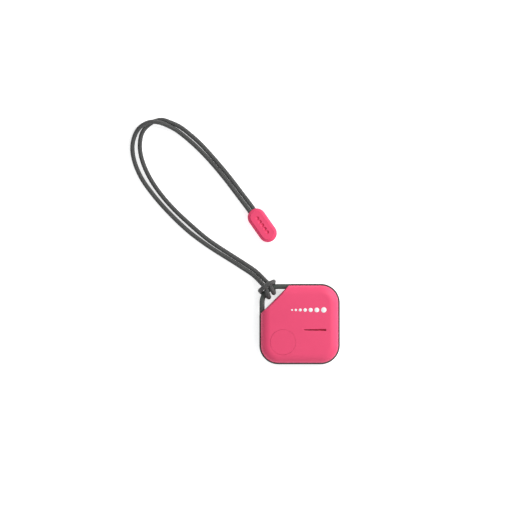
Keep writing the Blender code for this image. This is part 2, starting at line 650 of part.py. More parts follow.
def buzzer(materials):
    plate_low = 7.05 * MM
    brass = materials["brass"]
    white = materials["ceramic_white"]
    black = materials["rubber_black"]
    disc("buzzer_plate", BUZZER_RADIUS, plate_low, plate_low + 0.2 * MM, BUZZER_PLACE, brass)
    disc("buzzer_ceramic", 4.4 * MM, 6.78 * MM, plate_low - 0.07 * MM, BUZZER_PLACE, white)
    hoop("buzzer_ring", 5.6 * MM, BUZZER_RADIUS, 7.33 * MM, 7.5 * MM, BUZZER_PLACE, black)
    mesh_outline = stadium(11.2 * MM, 2.2 * MM, SLOT_PLACE, steps=6)
    prism("sound_mesh", mesh_outline, 7.58 * MM, COVER_CEILING - GAP, materials["silicone_grey"])

    foot = BOARD_TOP + 0.12 * MM
    springs = (("buzzer_spring_inner", 0.0, 6.68 * MM), ("buzzer_spring_outer", 5.4 * MM, 6.95 * MM))
    for name, distance, top in springs:
        path = [(1.6 * MM, foot), (-1.2 * MM, foot), (-1.5 * MM, foot + 0.25 * MM), (0.9 * MM, top)]
        place = (BUZZER_PLACE[0], BUZZER_PLACE[1] + distance)
        bent_strip(name, path, 1.4 * MM, 0.12 * MM, place, 0, brass)


# ---------------------------------------------------------------- cord and cord end

def knot_point(outward, along, height):
    """A point of the knot in metres, from its place round the loop bar's arc in mm."""
    centre = TAG_SIDE / 2 - TAG_CORNER
    arc_radius = TAG_CORNER - BAR_INSET
    angle = math.radians(KNOT_DEGREES) - along * MM / arc_radius
    reach = arc_radius + outward * MM
    return Vector((-centre + reach * math.cos(angle), centre + reach * math.sin(angle), height * MM))


def cord_route():
    """The whole cord from its first end in the cord end, through the knot, to its other end."""
    route = [Vector(point) * MM for point in reversed(STRAND_A_ROUTE)]
    route += [knot_point(*point) for point in KNOT_ROUTE]
    route += [Vector(point) * MM for point in STRAND_B_ROUTE]
    return route


def smooth_curve(route, steps=12):
    """Many points on one smooth curve that passes through a route's points (centripetal Catmull-Rom)."""
    padded = [2 * route[0] - route[1]] + list(route) + [2 * route[-1] - route[-2]]
    curve = []
    for before, start, end, after in zip(padded, padded[1:], padded[2:], padded[3:]):
        t1 = (start - before).length ** 0.5
        t2 = t1 + (end - start).length ** 0.5
        t3 = t2 + (after - end).length ** 0.5
        for k in range(steps):
            t = t1 + (t2 - t1) * k / steps
            first = before * ((t1 - t) / t1) + start * (t / t1)
            second = start * ((t2 - t) / (t2 - t1)) + end * ((t - t1) / (t2 - t1))
            third = end * ((t3 - t) / (t3 - t2)) + after * ((t - t2) / (t3 - t2))
            low = first * ((t2 - t) / t2) + second * (t / t2)
            high = second * ((t3 - t) / (t3 - t1)) + third * ((t - t1) / (t3 - t1))
            curve.append(low * ((t2 - t) / (t2 - t1)) + high * ((t - t1) / (t2 - t1)))
    curve.append(Vector(route[-1]))
    return curve


def distances(curve):
    """How far along the curve each of its points lies."""
    total = [0.0]
    for start, end in zip(curve, curve[1:]):
        total.append(total[-1] + (end - start).length)
    return total


def stretch(curve, start, end, spacing):
    """Evenly spaced points of a curve between two distances along it."""
    along = distances(curve)
    count = max(round((end - start) / spacing), 1)
    points = []
    i = 0
    for k in range(count + 1):
        wanted = start + (end - start) * k / count
        while i < len(along) - 2 and along[i + 1] < wanted:
            i += 1
        part = (wanted - along[i]) / (along[i + 1] - along[i])
        points.append(curve[i].lerp(curve[i + 1], part))
    return points


def tube(name, points, material):
    curve = bpy.data.curves.new(name, "CURVE")
    curve.dimensions = "3D"
    curve.bevel_depth = CORD_RADIUS
    curve.bevel_resolution = 2
    curve.use_fill_caps = True
    spline = curve.splines.new("POLY")
    spline.points.add(len(points) - 1)
    for target, point in zip(spline.points, points):
        target.co = (*point, 1.0)
    curve.materials.append(material)
    made = bpy.data.objects.new(name, curve)
    bpy.context.collection.objects.link(made)
    return made


def cord(materials):
    curve = smooth_curve(cord_route())
    along = distances(curve)
    first_knot = knot_point(*KNOT_ROUTE[0])
    last_knot = knot_point(*KNOT_ROUTE[-1])
    knot_start = min(zip(along, curve), key=lambda pair: (pair[1] - first_knot).length)[0]
    knot_end = min(zip(along, curve), key=lambda pair: (pair[1] - last_knot).length)[0]
    grey = materials["cord_grey"]
    first_strand = stretch(curve, 0, knot_start - HINGE_GAP, STRAND_SPACING)
    last_strand = stretch(curve, knot_end + HINGE_GAP, along[-1], STRAND_SPACING)
    hitch = tube("strap_hitch", stretch(curve, knot_start, knot_end, KNOT_SPACING), grey)
    strands = [tube("strap_strand_a", first_strand, grey), tube("strap_strand_b", last_strand, grey)]
    knot_ends = curve[along.index(knot_start)] + curve[along.index(knot_end)]
    hinge = (first_strand[-1] + last_strand[0] + knot_ends) / 4
    return hitch, strands, hinge


def cord_end(materials):
    """Two halves that close on the cord's ends, made along X with the mouth at -X, and then turned."""
    pink = materials["cord_end_pink"]
    edge = 0.5 * MM
    step = 1.1 * MM
    step_height = 0.35 * MM

    def ring(inset, height):
        outline = stadium(CORD_END_LENGTH - 2 * inset, CORD_END_WIDTH - 2 * inset)
        return [(x, y, height) for x, y in outline]

    base_rings = [ring(edge, 0), ring(edge * 0.3, edge * 0.3), ring(0, edge),
                  ring(0, CORD_END_SPLIT - GAP / 2)]
    shoulder = CORD_END_HEIGHT - step_height
    lid_rings = [ring(0, CORD_END_SPLIT + GAP / 2), ring(0, shoulder - edge),
                 ring(edge * 0.3, shoulder - edge * 0.3), ring(edge, shoulder), ring(step, shoulder),
                 ring(step + 0.2 * MM, CORD_END_HEIGHT)]
    base = loft("cord_end_base", base_rings, pink)
    lid = loft("cord_end_lid", lid_rings, pink)

    mouth = -CORD_END_LENGTH / 2
    channel_width = 4.4 * MM
    channel_height = 2.3 * MM
    half = channel_height / 2
    corners = [(-channel_width / 2, -half), (channel_width / 2, -half), (channel_width / 2, half),
               (-channel_width / 2, half)]
    section = rounded_polygon(corners, [half * 0.95] * 4, steps=4)
    rings = [
        [(distance, across, CORD_END_SPLIT + height) for across, height in section]
        for distance in (mouth - 1 * MM, mouth + CHANNEL_DEPTH)
    ]
    channel = loft("cord_channel", rings)
    peg_place = (CORD_END_LENGTH / 4, 0)
    peg_top = CORD_END_SPLIT + 1.0 * MM
    peg = disc("cord_end_peg", 1.2 * MM, CORD_END_SPLIT - 1 * MM, peg_top, peg_place, steps=20)
    socket = disc("cord_end_socket", 1.35 * MM, CORD_END_SPLIT - 1 * MM, peg_top + GAP, peg_place, steps=20)

    for piece in (base, lid):
        combine(piece, channel, "DIFFERENCE")
    combine(base, peg, "UNION")
    combine(lid, socket, "DIFFERENCE")
    for piece in (base, lid, channel, peg, socket):
        piece.location = (CORD_END_PLACE[0], CORD_END_PLACE[1], 0)
        piece.rotation_euler.z = math.atan2(CORD_END_AXIS[1], CORD_END_AXIS[0])
    return base, lid


# ---------------------------------------------------------------- the whole object

def main():
    for leftover in list(bpy.data.objects):
        bpy.data.objects.remove(leftover, do_unlink=True)
    materials = make_materials()
    rear_shell(materials)
    cover_seal(materials)
    front_cover(materials)
    coin_cell(materials)
    cell_holder(materials)
    cell_contacts(materials)
    circuit_board(materials)
    board_parts(materials)
    buzzer(materials)

    pressed = [button_cap(materials), button_pad(materials)]
    hang_on_pivot("button_pivot", (*BUTTON_PLACE, FLANGE_TOP), pressed)
    hang_on_pivot("plunger_pivot", (*BUTTON_PLACE, PLUNGER_TOP), [tact_switch(materials)])
    turning = [battery_door(materials), door_seal(materials)]
    hang_on_pivot("door_pivot", (*DOOR_PLACE, DOOR_FLANGE_TOP), turning)

    hitch, strands, hinge = cord(materials)
    arc_centre = TAG_SIDE / 2 - TAG_CORNER
    knot_pivot = hang_on_pivot("knot_pivot", (-arc_centre, arc_centre, (BAR_LOW + BAR_HIGH) / 2), [hitch])
    hang_on_pivot("strap_pivot", hinge, [*strands, *cord_end(materials)], knot_pivot)


main()
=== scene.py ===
"""The look of a Bluetooth tracker tag with a doubled wrist cord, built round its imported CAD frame.

Metres, +Z up, in the CAD's own frame. The tag lies on its back at the origin, and the strap leaves it
from its missing corner, loops round and comes back to the cord end.
"""
import math

import bmesh
import bpy
import numpy as np
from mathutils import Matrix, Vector


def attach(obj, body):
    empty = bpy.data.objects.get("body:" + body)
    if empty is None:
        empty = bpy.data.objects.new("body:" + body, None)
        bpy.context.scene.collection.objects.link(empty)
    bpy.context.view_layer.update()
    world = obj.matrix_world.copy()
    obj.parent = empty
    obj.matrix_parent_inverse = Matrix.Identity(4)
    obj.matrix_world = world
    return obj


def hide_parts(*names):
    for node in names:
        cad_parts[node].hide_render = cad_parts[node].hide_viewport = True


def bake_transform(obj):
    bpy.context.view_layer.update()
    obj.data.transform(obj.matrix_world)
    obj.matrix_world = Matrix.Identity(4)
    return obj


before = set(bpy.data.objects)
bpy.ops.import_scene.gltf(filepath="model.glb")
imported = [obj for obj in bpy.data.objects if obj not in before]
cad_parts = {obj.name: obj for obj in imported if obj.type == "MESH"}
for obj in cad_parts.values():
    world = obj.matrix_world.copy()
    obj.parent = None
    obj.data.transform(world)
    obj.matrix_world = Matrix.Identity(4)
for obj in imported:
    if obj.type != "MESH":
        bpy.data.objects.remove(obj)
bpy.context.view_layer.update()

MM = 0.001
GAP = 0.1 * MM                    # between pieces that touch

# ---------------------------------------------------------------- sizes that the CAD model has

TAG_SIDE = 36.0 * MM
TAG_CORNER = 8.5 * MM
TAG_HEIGHT = 9.0 * MM
CUT_DISTANCE = 15.6 * MM          # from the tag's middle to the diagonal wall
CUT_CORNER = 1.2 * MM

REAR_EDGE = 2.0 * MM
FLOOR_TOP = 1.3 * MM
TRAY_WALL = 1.6 * MM
LEDGE_TOP = 4.4 * MM
RIM_TOP = 5.2 * MM
RIM_WIDTH = 0.55 * MM
CUT_RIM_TOP = 4.9 * MM
CUT_RIM_WIDTH = 0.7 * MM
POST_PLACE = 11.8 * MM
POST_RADIUS = 1.2 * MM
PIN_RADIUS = 0.5 * MM
PIN_TOP = 5.9 * MM
BOARD_BOTTOM = 5.0 * MM

BAR_INSET = 1.2 * MM
BAR_WIDTH = 2.3 * MM
BAR_LOW = 2.45 * MM
BAR_HIGH = 5.15 * MM
BAR_EDGE = 0.9 * MM
BAR_ROOT = 3.2 * MM

COVER_INSET = 0.7 * MM
COVER_WALL = 1.1 * MM
COVER_BOTTOM = 5.0 * MM
DOME_BOTTOM = 5.6 * MM
DOME_WIDTH = 4.25 * MM
CUT_DOME_WIDTH = 0.7 * MM
INNER_DOME_SAVING = 0.25 * MM
COVER_CEILING = 7.8 * MM
CROWN = 0.16 * MM                 # how far the front falls from its middle to the dome's shoulder
SLOT_PLACE = (6.9 * MM, -2.5 * MM)
SLOT_LENGTH = 10.0 * MM
SLOT_WIDTHS = (0.4 * MM, 0.9 * MM)
SLOT_EDGE = 0.14 * MM

BUTTON_PLACE = (-7.5 * MM, -8.0 * MM)
BUTTON_HOLE = 5.70 * MM
BUTTON_RADIUS = 5.64 * MM
BUTTON_EDGE = 0.09 * MM           # rounding of the cap's edge and of its hole's
BUTTON_POST_RADIUS = 1.8 * MM
BUTTON_POST_BOTTOM = 7.3 * MM
BUTTON_HOLLOW = 5.0 * MM
BUTTON_HOLLOW_TOP = 7.9 * MM
FLANGE_RADIUS = 6.0 * MM
FLANGE_TOP = 7.4 * MM
FLANGE_BOTTOM = 7.1 * MM

DOOR_PLACE = (1.0 * MM, -1.0 * MM)
DOOR_FACE = 0.1 * MM
DOOR_FLANGE = 13.1 * MM
DOOR_FLANGE_TOP = 0.6 * MM
DOOR_PLUG = 11.2 * MM
DOOR_RIM_TOP = 1.9 * MM
DOOR_CLEARANCE = 0.2 * MM
RECESS_TOP = 0.75 * MM
LUG_RADIUS = 12.15 * MM
LUG_BOTTOM = 1.45 * MM
LUG_DEGREES = (90.0, 210.0, 330.0)
LUG_WIDTH_DEGREES = 24.0
DOOR_TURN_DEGREES = 30.0
POINTER_DEGREES = -120.0          # the door's own mark, and the tray's mark for a locked door
UNLOCKED_DEGREES = -150.0
POINTER_PLACE = 11.7 * MM
LOCK_MARK_PLACE = 14.5 * MM

KNOT_DEGREES = 125.0
CORD_END_PLACE = (-16.69 * MM, 44.25 * MM)
CORD_END_AXIS = (0.575, -0.818)
CORD_END_LENGTH = 16.8 * MM
CORD_END_WIDTH = 8.2 * MM
CORD_END_SPLIT = 2.1 * MM
CORD_END_HEIGHT = 4.2 * MM
CORD_END_GAP = 0.1 * MM           # between the two halves
CORD_END_SEAM = 0.08 * MM         # chamfer of each half's edge at the gap
CHANNEL_DEPTH = 8.0 * MM

# The cord's way through the knot: outward from the bar's centre line, along the bar, and height, in mm.
KNOT_ROUTE = (
    (4.20, -0.73, 3.62), (3.10, -0.70, 4.50), (2.00, -0.68, 5.42), (0.80, -0.85, 6.20),
    (-0.45, -1.45, 6.32), (-1.65, -2.30, 5.75), (-2.36, -2.95, 4.50), (-2.36, -3.15, 3.00),
    (-1.55, -3.20, 1.68), (-0.15, -3.10, 1.24),
    (1.30, -2.95, 1.62), (2.25, -2.80, 2.85), (2.50, -2.72, 4.40), (2.40, -2.35, 6.20), (2.30, -1.25, 7.62),
    (2.25, 0.22, 7.85), (2.30, 1.68, 7.62), (2.40, 2.72, 6.20), (2.45, 2.88, 4.40), (2.25, 2.80, 2.85),
    (1.30, 2.50, 1.62), (-0.15, 2.10, 1.24), (-1.55, 1.70, 1.68), (-2.36, 1.42, 3.00), (-2.36, 1.22, 4.50),
    (-1.65, 1.15, 5.75), (-0.45, 1.12, 6.32), (0.80, 1.16, 6.20), (2.00, 1.12, 5.42), (3.10, 0.82, 4.50),
    (4.20, 0.60, 3.62),
)

# The two strands' ways over the table, from the knot to inside the cord end, in mm.
STRAND_A_ROUTE = (
    (-18.37, 19.67, 2.30), (-19.75, 21.04, 1.40), (-21.44, 22.43, 1.08), (-25.32, 25.03, 1.02),
    (-29.50, 27.72, 1.02), (-38.06, 33.06, 1.02), (-43.30, 36.60, 1.02), (-50.20, 41.90, 1.02),
    (-58.60, 49.90, 1.02), (-65.70, 58.00, 1.02), (-71.30, 66.10, 1.02), (-74.40, 74.10, 1.02),
    (-74.95, 80.30, 1.06), (-73.43, 85.66, 1.36), (-71.00, 88.64, 2.50), (-67.00, 90.50, 3.12),
    (-63.00, 90.30, 3.05), (-59.42, 89.10, 2.30), (-55.38, 87.02, 1.28), (-51.80, 84.35, 1.06),
    (-46.13, 79.37, 1.02), (-40.47, 73.53, 1.02), (-33.72, 65.56, 1.04), (-27.50, 57.40, 1.12),
    (-24.40, 53.30, 1.55), (-22.40, 50.56, 2.10), (-20.60, 48.00, 2.10), (-18.40, 44.87, 2.10),
)
STRAND_B_ROUTE = (
    (-16.68, 20.83, 2.30), (-18.10, 22.26, 1.40), (-20.25, 24.10, 1.08), (-24.20, 26.75, 1.02),
    (-28.40, 29.45, 1.02), (-36.90, 34.90, 1.02), (-41.70, 38.30, 1.02), (-49.20, 44.70, 1.02),
    (-56.20, 51.30, 1.02), (-62.10, 58.00, 1.02), (-67.50, 66.10, 1.02), (-70.80, 74.10, 1.02),
    (-71.65, 80.00, 1.02), (-70.73, 85.46, 1.02), (-68.70, 88.44, 1.02), (-65.50, 90.80, 1.02),
    (-61.70, 91.60, 1.02), (-58.45, 90.64, 1.02), (-53.45, 88.35, 1.02), (-48.10, 84.18, 1.02),
    (-44.50, 80.90, 1.02), (-39.00, 74.95, 1.02), (-32.10, 66.80, 1.04), (-25.85, 58.65, 1.12),
    (-22.70, 54.50, 1.55), (-20.70, 51.76, 2.10), (-18.90, 49.20, 2.10), (-16.70, 46.07, 2.10),
)


# ---------------------------------------------------------------- nodes for materials

def add_node(tree, kind, inputs=None, **settings):
    """A shader node. Its inputs are given by name or number, each a constant or another node's output."""
    made = tree.nodes.new("ShaderNode" + kind)
    for name, value in settings.items():
        setattr(made, name, value)
    for name, value in (inputs or {}).items():
        if isinstance(value, bpy.types.NodeSocket):
            tree.links.new(value, made.inputs[name])
        else:
            made.inputs[name].default_value = value
    return made


def calculate(tree, operation, *values):
    return add_node(tree, "Math", dict(enumerate(values)), operation=operation).outputs[0]


def ramp(tree, factor, stops):
    """A colour ramp from (place, colour) stops."""
    made = add_node(tree, "ValToRGB", {"Fac": factor})
    elements = made.color_ramp.elements
    while len(elements) < len(stops):
        elements.new(0.5)
    for element, (place, colour) in zip(elements, stops):
        element.position = place
        element.color = (*colour, 1.0)
    return made.outputs["Color"]


def spread(tree, factor, low, high, start=0.0, end=1.0):
    """A factor between start and end becomes a number between low and high."""
    inputs = {"Value": factor, "From Min": start, "From Max": end, "To Min": low, "To Max": high}
    return add_node(tree, "MapRange", inputs).outputs[0]


def place_of(tree, stretch=(1, 1, 1)):
    """The object's own coordinates in mm, squeezed along some axes."""
    coordinates = add_node(tree, "TexCoord").outputs["Object"]
    scale = tuple(number / MM for number in stretch)
    return add_node(tree, "Mapping", {"Vector": coordinates, "Scale": scale}).outputs[0]


def noise(tree, where, scale, detail=3.0, roughness=0.55):
    """Cloudy noise from 0 to 1, with about that many blobs to a millimetre."""
    inputs = {"Vector": where, "Scale": scale, "Detail": detail, "Roughness": roughness}
    return add_node(tree, "TexNoise", inputs).outputs["Fac"]


def shade(colour, amount):
    return tuple(min(channel * amount, 1.0) for channel in colour)


def blank_material(name):
    made = bpy.data.materials.new(name)
    made.use_nodes = True
    return made, made.node_tree, made.node_tree.nodes["Principled BSDF"]


def surface(name, colour, roughness, metallic=0.0, grain=0.004, grain_scale=7.0, cloud=0.05,
            cloud_scale=0.25, stretch=(1, 1, 1), worn=0.12, specular=0.5):
    """A material with soft patches of colour, a fine grain in its height and gloss, and lighter edges.

    The grain is the texture's depth in mm. The cloud is how far the colour drifts, and worn is how much
    paler an edge is.
    """
    made, tree, shader = blank_material(name)
    where = place_of(tree, stretch)
    patches = noise(tree, where, cloud_scale, 2.0)
    speck = noise(tree, where, grain_scale, 4.0, 0.65)
    drift = ramp(tree, patches, [(0.25, shade(colour, 1 - cloud)), (0.75, shade(colour, 1 + cloud))])
    speckled = add_node(tree, "MixRGB", {
        "Fac": spread(tree, speck, 0.0, 1.6 * cloud, 0.35, 0.7), "Color1": drift,
        "Color2": (*shade(colour, 0.72), 1.0),
    }).outputs[0]
    edges = add_node(tree, "NewGeometry").outputs["Pointiness"]
    rub = spread(tree, edges, 0.0, worn, 0.515, 0.60)
    rubbed_colour = [min(channel * 1.25 + 0.06, 1.0) for channel in colour]
    pale = add_node(tree, "MixRGB", {
        "Fac": rub, "Color1": speckled, "Color2": (*rubbed_colour, 1.0),
    }).outputs[0]
    tree.links.new(pale, shader.inputs["Base Color"])
    gloss = spread(tree, speck, roughness - 0.06, roughness + 0.08, 0.3, 0.7)
    tree.links.new(gloss, shader.inputs["Roughness"])
    shader.inputs["Metallic"].default_value = metallic
    shader.inputs["Specular IOR Level"].default_value = specular
    bump = add_node(tree, "Bump", {"Height": speck, "Strength": 1.0, "Distance": grain * MM})
    tree.links.new(bump.outputs["Normal"], shader.inputs["Normal"])
    return made


# The cord's sleeve is braided from two families of strands that wind opposite ways.
CARRIERS = 8                      # strands in each family
BRAID_STEP = 0.95 * MM            # from one crossing to the next along the cord


def braid_material():
    """Yarns along the strands, with painted shade between them and in the crossings and painted highlight on
    the strands' backs. The "lift" attribute is the braid's own height.
    """
    made, tree, shader = blank_material("braided_polyester")
    layout = add_node(tree, "UVMap", uv_map="braid").outputs["UV"]
    split = add_node(tree, "SeparateXYZ", {"Vector": layout})
    round_way, long_way = split.outputs[0], split.outputs[1]
    lean_right = calculate(tree, "ADD", round_way, long_way)
    lean_left = calculate(tree, "SUBTRACT", round_way, long_way)
    whole_right = calculate(tree, "FLOOR", lean_right)
    whole_left = calculate(tree, "FLOOR", lean_left)
    cell = calculate(tree, "ADD", whole_right, whole_left)
    over = calculate(tree, "MODULO", calculate(tree, "ABSOLUTE", cell), 2.0)
    across = add_node(tree, "Mix", {"Factor": over, 2: lean_left, 3: lean_right}).outputs[0]
    along = add_node(tree, "Mix", {"Factor": over, 2: lean_right, 3: lean_left}).outputs[0]
    yarn_turns = calculate(tree, "ADD", calculate(tree, "MULTIPLY", across, 7.0),
                           calculate(tree, "MULTIPLY", along, 0.8))
    wave = calculate(tree, "SINE", calculate(tree, "MULTIPLY", yarn_turns, math.pi))
    yarns = calculate(tree, "ABSOLUTE", wave)

    where = place_of(tree)
    fuzz = noise(tree, where, 9.0, 4.0, 0.7)
    patches = noise(tree, where, 0.35, 2.0)
    lift = add_node(tree, "Attribute", attribute_name="lift").outputs["Fac"]
    # Painted shade and highlight: the colour darkens in the crossings and between the yarns, and lightens on
    # the strands' backs.
    painted_shade_and_highlight = calculate(tree, "ADD", calculate(tree, "MULTIPLY", lift, 0.72),
                    calculate(tree, "MULTIPLY", yarns, 0.16))
    painted_shade_and_highlight = calculate(tree, "ADD", painted_shade_and_highlight, calculate(tree, "MULTIPLY", fuzz, 0.14))
    # The ramp runs from painted shade in the crossings' corners to painted highlight on the strands' backs.
    base = ramp(tree, painted_shade_and_highlight, [(0.10, (0.010, 0.010, 0.010)), (0.42, (0.036, 0.037, 0.037)),
                            (0.72, (0.074, 0.076, 0.075)), (0.98, (0.12, 0.122, 0.121))])
    faded = add_node(tree, "MixRGB", {
        "Fac": spread(tree, patches, 0.0, 0.35, 0.35, 0.75), "Color1": base,
        "Color2": (0.068, 0.069, 0.069, 1.0),
    }).outputs[0]
    tree.links.new(faded, shader.inputs["Base Color"])
    tree.links.new(spread(tree, yarns, 0.82, 0.66), shader.inputs["Roughness"])
    shader.inputs["Specular IOR Level"].default_value = 0.35
    shader.inputs["Sheen Weight"].default_value = 0.25
    shader.inputs["Sheen Roughness"].default_value = 0.45
    height = calculate(tree, "ADD", calculate(tree, "MULTIPLY", yarns, 0.7),
                       calculate(tree, "MULTIPLY", fuzz, 0.6))
    bump = add_node(tree, "Bump", {"Height": height, "Strength": 0.9, "Distance": 0.03 * MM})
    tree.links.new(bump.outputs["Normal"], shader.inputs["Normal"])
    return made


def brushed_steel(name, colour=(0.62, 0.62, 0.60), stretch=(14, 0.6, 1)):
    return surface(name, colour, 0.30, 1.0, grain=0.003, grain_scale=2.2, cloud=0.04, stretch=stretch,
                   worn=0.05)


def board_material():
    """Green solder mask over copper tracks, with small tinned pads."""
    made, tree, shader = blank_material("circuit_board_mask")
    where = place_of(tree)
    tracks = add_node(tree, "TexBrick", {
        "Vector": where, "Scale": 0.55, "Mortar Size": 0.05, "Mortar Smooth": 0.2, "Brick Width": 1.7,
        "Row Height": 0.62,
    }, offset=0.37, squash=0.6, squash_frequency=3).outputs["Fac"]
    cells = add_node(tree, "TexVoronoi", {"Vector": where, "Scale": 0.42, "Randomness": 0.8})
    pads = spread(tree, cells.outputs["Distance"], 1.0, 0.0, 0.13, 0.16)
    weave = noise(tree, where, 5.0, 3.0)
    mask = ramp(tree, weave, [(0.3, (0.010, 0.105, 0.045)), (0.7, (0.016, 0.145, 0.062))])
    copper = (0.03, 0.22, 0.085, 1.0)
    tin = (0.70, 0.66, 0.55, 1.0)
    tracked = add_node(tree, "MixRGB", {"Fac": tracks, "Color1": mask, "Color2": copper})
    padded = add_node(tree, "MixRGB", {"Fac": pads, "Color1": tracked.outputs[0], "Color2": tin})
    tree.links.new(padded.outputs[0], shader.inputs["Base Color"])
    tree.links.new(calculate(tree, "MULTIPLY", pads, 0.9), shader.inputs["Metallic"])
    tree.links.new(spread(tree, weave, 0.28, 0.42), shader.inputs["Roughness"])
    relief = calculate(tree, "ADD", tracks, calculate(tree, "MULTIPLY", pads, 1.5))
    bump = add_node(tree, "Bump", {"Height": relief, "Strength": 1.0, "Distance": 0.02 * MM})
    tree.links.new(bump.outputs["Normal"], shader.inputs["Normal"])
    return made


def mesh_cloth():
    """Fine woven screen behind the sound slot."""
    made, tree, shader = blank_material("sound_screen")
    where = place_of(tree)
    split = add_node(tree, "SeparateXYZ", {"Vector": where})
    threads = []
    for axis in (0, 1):
        turns = calculate(tree, "MULTIPLY", split.outputs[axis], 16.0)
        threads.append(calculate(tree, "ABSOLUTE", calculate(tree, "SINE", turns)))
    weave = calculate(tree, "MAXIMUM", *threads)
    base = ramp(tree, weave, [(0.55, (0.30, 0.015, 0.05)), (0.9, (0.75, 0.05, 0.14))])
    tree.links.new(base, shader.inputs["Base Color"])
    tree.links.new(spread(tree, weave, 0.8, 0.5), shader.inputs["Roughness"])
    bump = add_node(tree, "Bump", {"Height": weave, "Strength": 1.0, "Distance": 0.03 * MM})
    tree.links.new(bump.outputs["Normal"], shader.inputs["Normal"])
    return made


def make_finishes():
    pink = (0.80, 0.068, 0.172)
    satin = {"specular": 0.35, "grain": 0.0035, "grain_scale": 9.0, "cloud": 0.02, "cloud_scale": 0.12}
    return {
        "cover": surface("matt_pink_plastic", pink, 0.58, worn=0.10, **satin),
        "button": surface("matt_pink_button", pink, 0.58, worn=0.10, **satin),
        "cord_end": surface("pink_cord_end_plastic", (0.82, 0.062, 0.165), 0.55, specular=0.35,
                            grain=0.006, grain_scale=6.0, cloud=0.03),
        "tray": surface("grey_tray_plastic", (0.055, 0.067, 0.060), 0.55, grain=0.008, grain_scale=5.0,
                        cloud=0.06, worn=0.25),
        "door": surface("grey_door_plastic", (0.050, 0.060, 0.055), 0.58, grain=0.010, grain_scale=4.5,
                        cloud=0.06, worn=0.25),
        "ink": surface("white_ink", (0.86, 0.86, 0.87), 0.5, grain=0.003, grain_scale=12.0, cloud=0.02,
                       worn=0.0),
        "cord": braid_material(),
        "rubber": surface("black_rubber", (0.022, 0.022, 0.022), 0.72, grain=0.012, grain_scale=6.0,
                          cloud=0.12),
        "silicone": surface("grey_silicone", (0.42, 0.42, 0.44), 0.6, grain=0.008, grain_scale=5.0),
        "steel": brushed_steel("brushed_steel"),
        "cell_steel": brushed_steel("plated_cell_steel", (0.68, 0.67, 0.64), (9, 1.2, 1)),
        "anode": surface("dull_anode_foil", (0.52, 0.53, 0.55), 0.45, 0.9, grain=0.02, grain_scale=2.5,
                         cloud=0.1),
        "powder": surface("pressed_cell_powder", (0.035, 0.035, 0.036), 0.85, grain=0.05,
                          grain_scale=8.0, cloud=0.25),
        "holder": surface("black_holder_nylon", (0.028, 0.028, 0.029), 0.5, grain=0.008,
                          grain_scale=6.0, cloud=0.1),
        "board": board_material(),
        "chip": surface("black_chip_epoxy", (0.020, 0.020, 0.022), 0.42, grain=0.006,
                        grain_scale=14.0, cloud=0.15),
        "ceramic": surface("fired_ceramic", (0.74, 0.72, 0.67), 0.42, grain=0.006, grain_scale=10.0),
        "plunger": surface("white_switch_nylon", (0.80, 0.79, 0.76), 0.45, grain_scale=9.0),
        "brass": brushed_steel("rolled_brass", (0.72, 0.50, 0.20), (1, 12, 1)),
        "screen": mesh_cloth(),
    }


# ---------------------------------------------------------------- shapes

def give_mesh(name, mesh, finish=None):
    mesh.name = name
    mesh.shade_smooth()
    made = bpy.data.objects.new(name, mesh)
    bpy.context.scene.collection.objects.link(made)
    if finish:
        mesh.materials.append(finish)
    return made


def from_bmesh(name, skin, finish=None):
    bmesh.ops.recalc_face_normals(skin, faces=skin.faces)
    mesh = bpy.data.meshes.new(name)
    skin.to_mesh(mesh)
    skin.free()
    return give_mesh(name, mesh, finish)


def loft(name, rings, finish=None):
    """Skin a row of rings of points, and cap its two ends."""
    skin = bmesh.new()
    layers = [[skin.verts.new(point) for point in ring] for ring in rings]
    for low, high in zip(layers, layers[1:]):
        for i in range(len(low)):
            after = (i + 1) % len(low)
            skin.faces.new((low[i], low[after], high[after], high[i]))
    skin.faces.new(reversed(layers[0]))
    skin.faces.new(layers[-1])
    return from_bmesh(name, skin, finish)


def turned(name, profile, place, finish=None, steps=96, draped=False):
    """Turn a profile of (radius, height), which starts and ends at radius 0, about +Z.

    A draped shape's upper part follows the front cover's crown, so its top lies flush with the cover.
    """
    skin = bmesh.new()
    layers = []
    for radius, height in profile:
        layer = []
        for i in range(steps if radius > 0 else 1):
            x = place[0] + radius * math.cos(math.tau * i / steps)
            y = place[1] + radius * math.sin(math.tau * i / steps)
            fall = TAG_HEIGHT - dome_height(x, y) if draped and height > COVER_CEILING else 0
            layer.append(skin.verts.new((x, y, height - fall)))
        layers.append(layer)
    for low, high in zip(layers, layers[1:]):
        for i in range(steps):
            after = (i + 1) % steps
            corners = [low[i % len(low)], low[after % len(low)], high[after % len(high)], high[i % len(high)]]
            skin.faces.new(list(dict.fromkeys(corners)))
    return from_bmesh(name, skin, finish)


def rounded_polygon(corners, radii, steps=14):
    """Outline of a convex polygon, counter-clockwise, with an arc at each corner."""
    outline = []
    for i, corner in enumerate(corners):
        here = Vector(corner)
        back = (Vector(corners[i - 1]) - here).normalized()
        ahead = (Vector(corners[(i + 1) % len(corners)]) - here).normalized()
        half_angle = back.angle(ahead) / 2
        centre = here + (back + ahead).normalized() * radii[i] / math.sin(half_angle)
        start = here + back * radii[i] / math.tan(half_angle) - centre
        first = math.atan2(start.y, start.x)
        sweep = math.pi - 2 * half_angle
        for k in range(steps + 1):
            angle = first + sweep * k / steps
            outline.append((centre.x + radii[i] * math.cos(angle), centre.y + radii[i] * math.sin(angle)))
    return outline


def capsule(length, widths, place=(0, 0), grow=0.0, steps=16):
    """Outline of a bar with half-round ends along X, from one width at -X to another at +X."""
    outline = []
    for side, width, first in ((1, widths[1], -math.pi / 2), (-1, widths[0], math.pi / 2)):
        reach = length / 2 - width / 2
        radius = width / 2 + grow
        for k in range(steps + 1):
            angle = first + math.pi * k / steps
            outline.append((place[0] + side * reach + radius * math.cos(angle),
                            place[1] + radius * math.sin(angle)))
    return outline


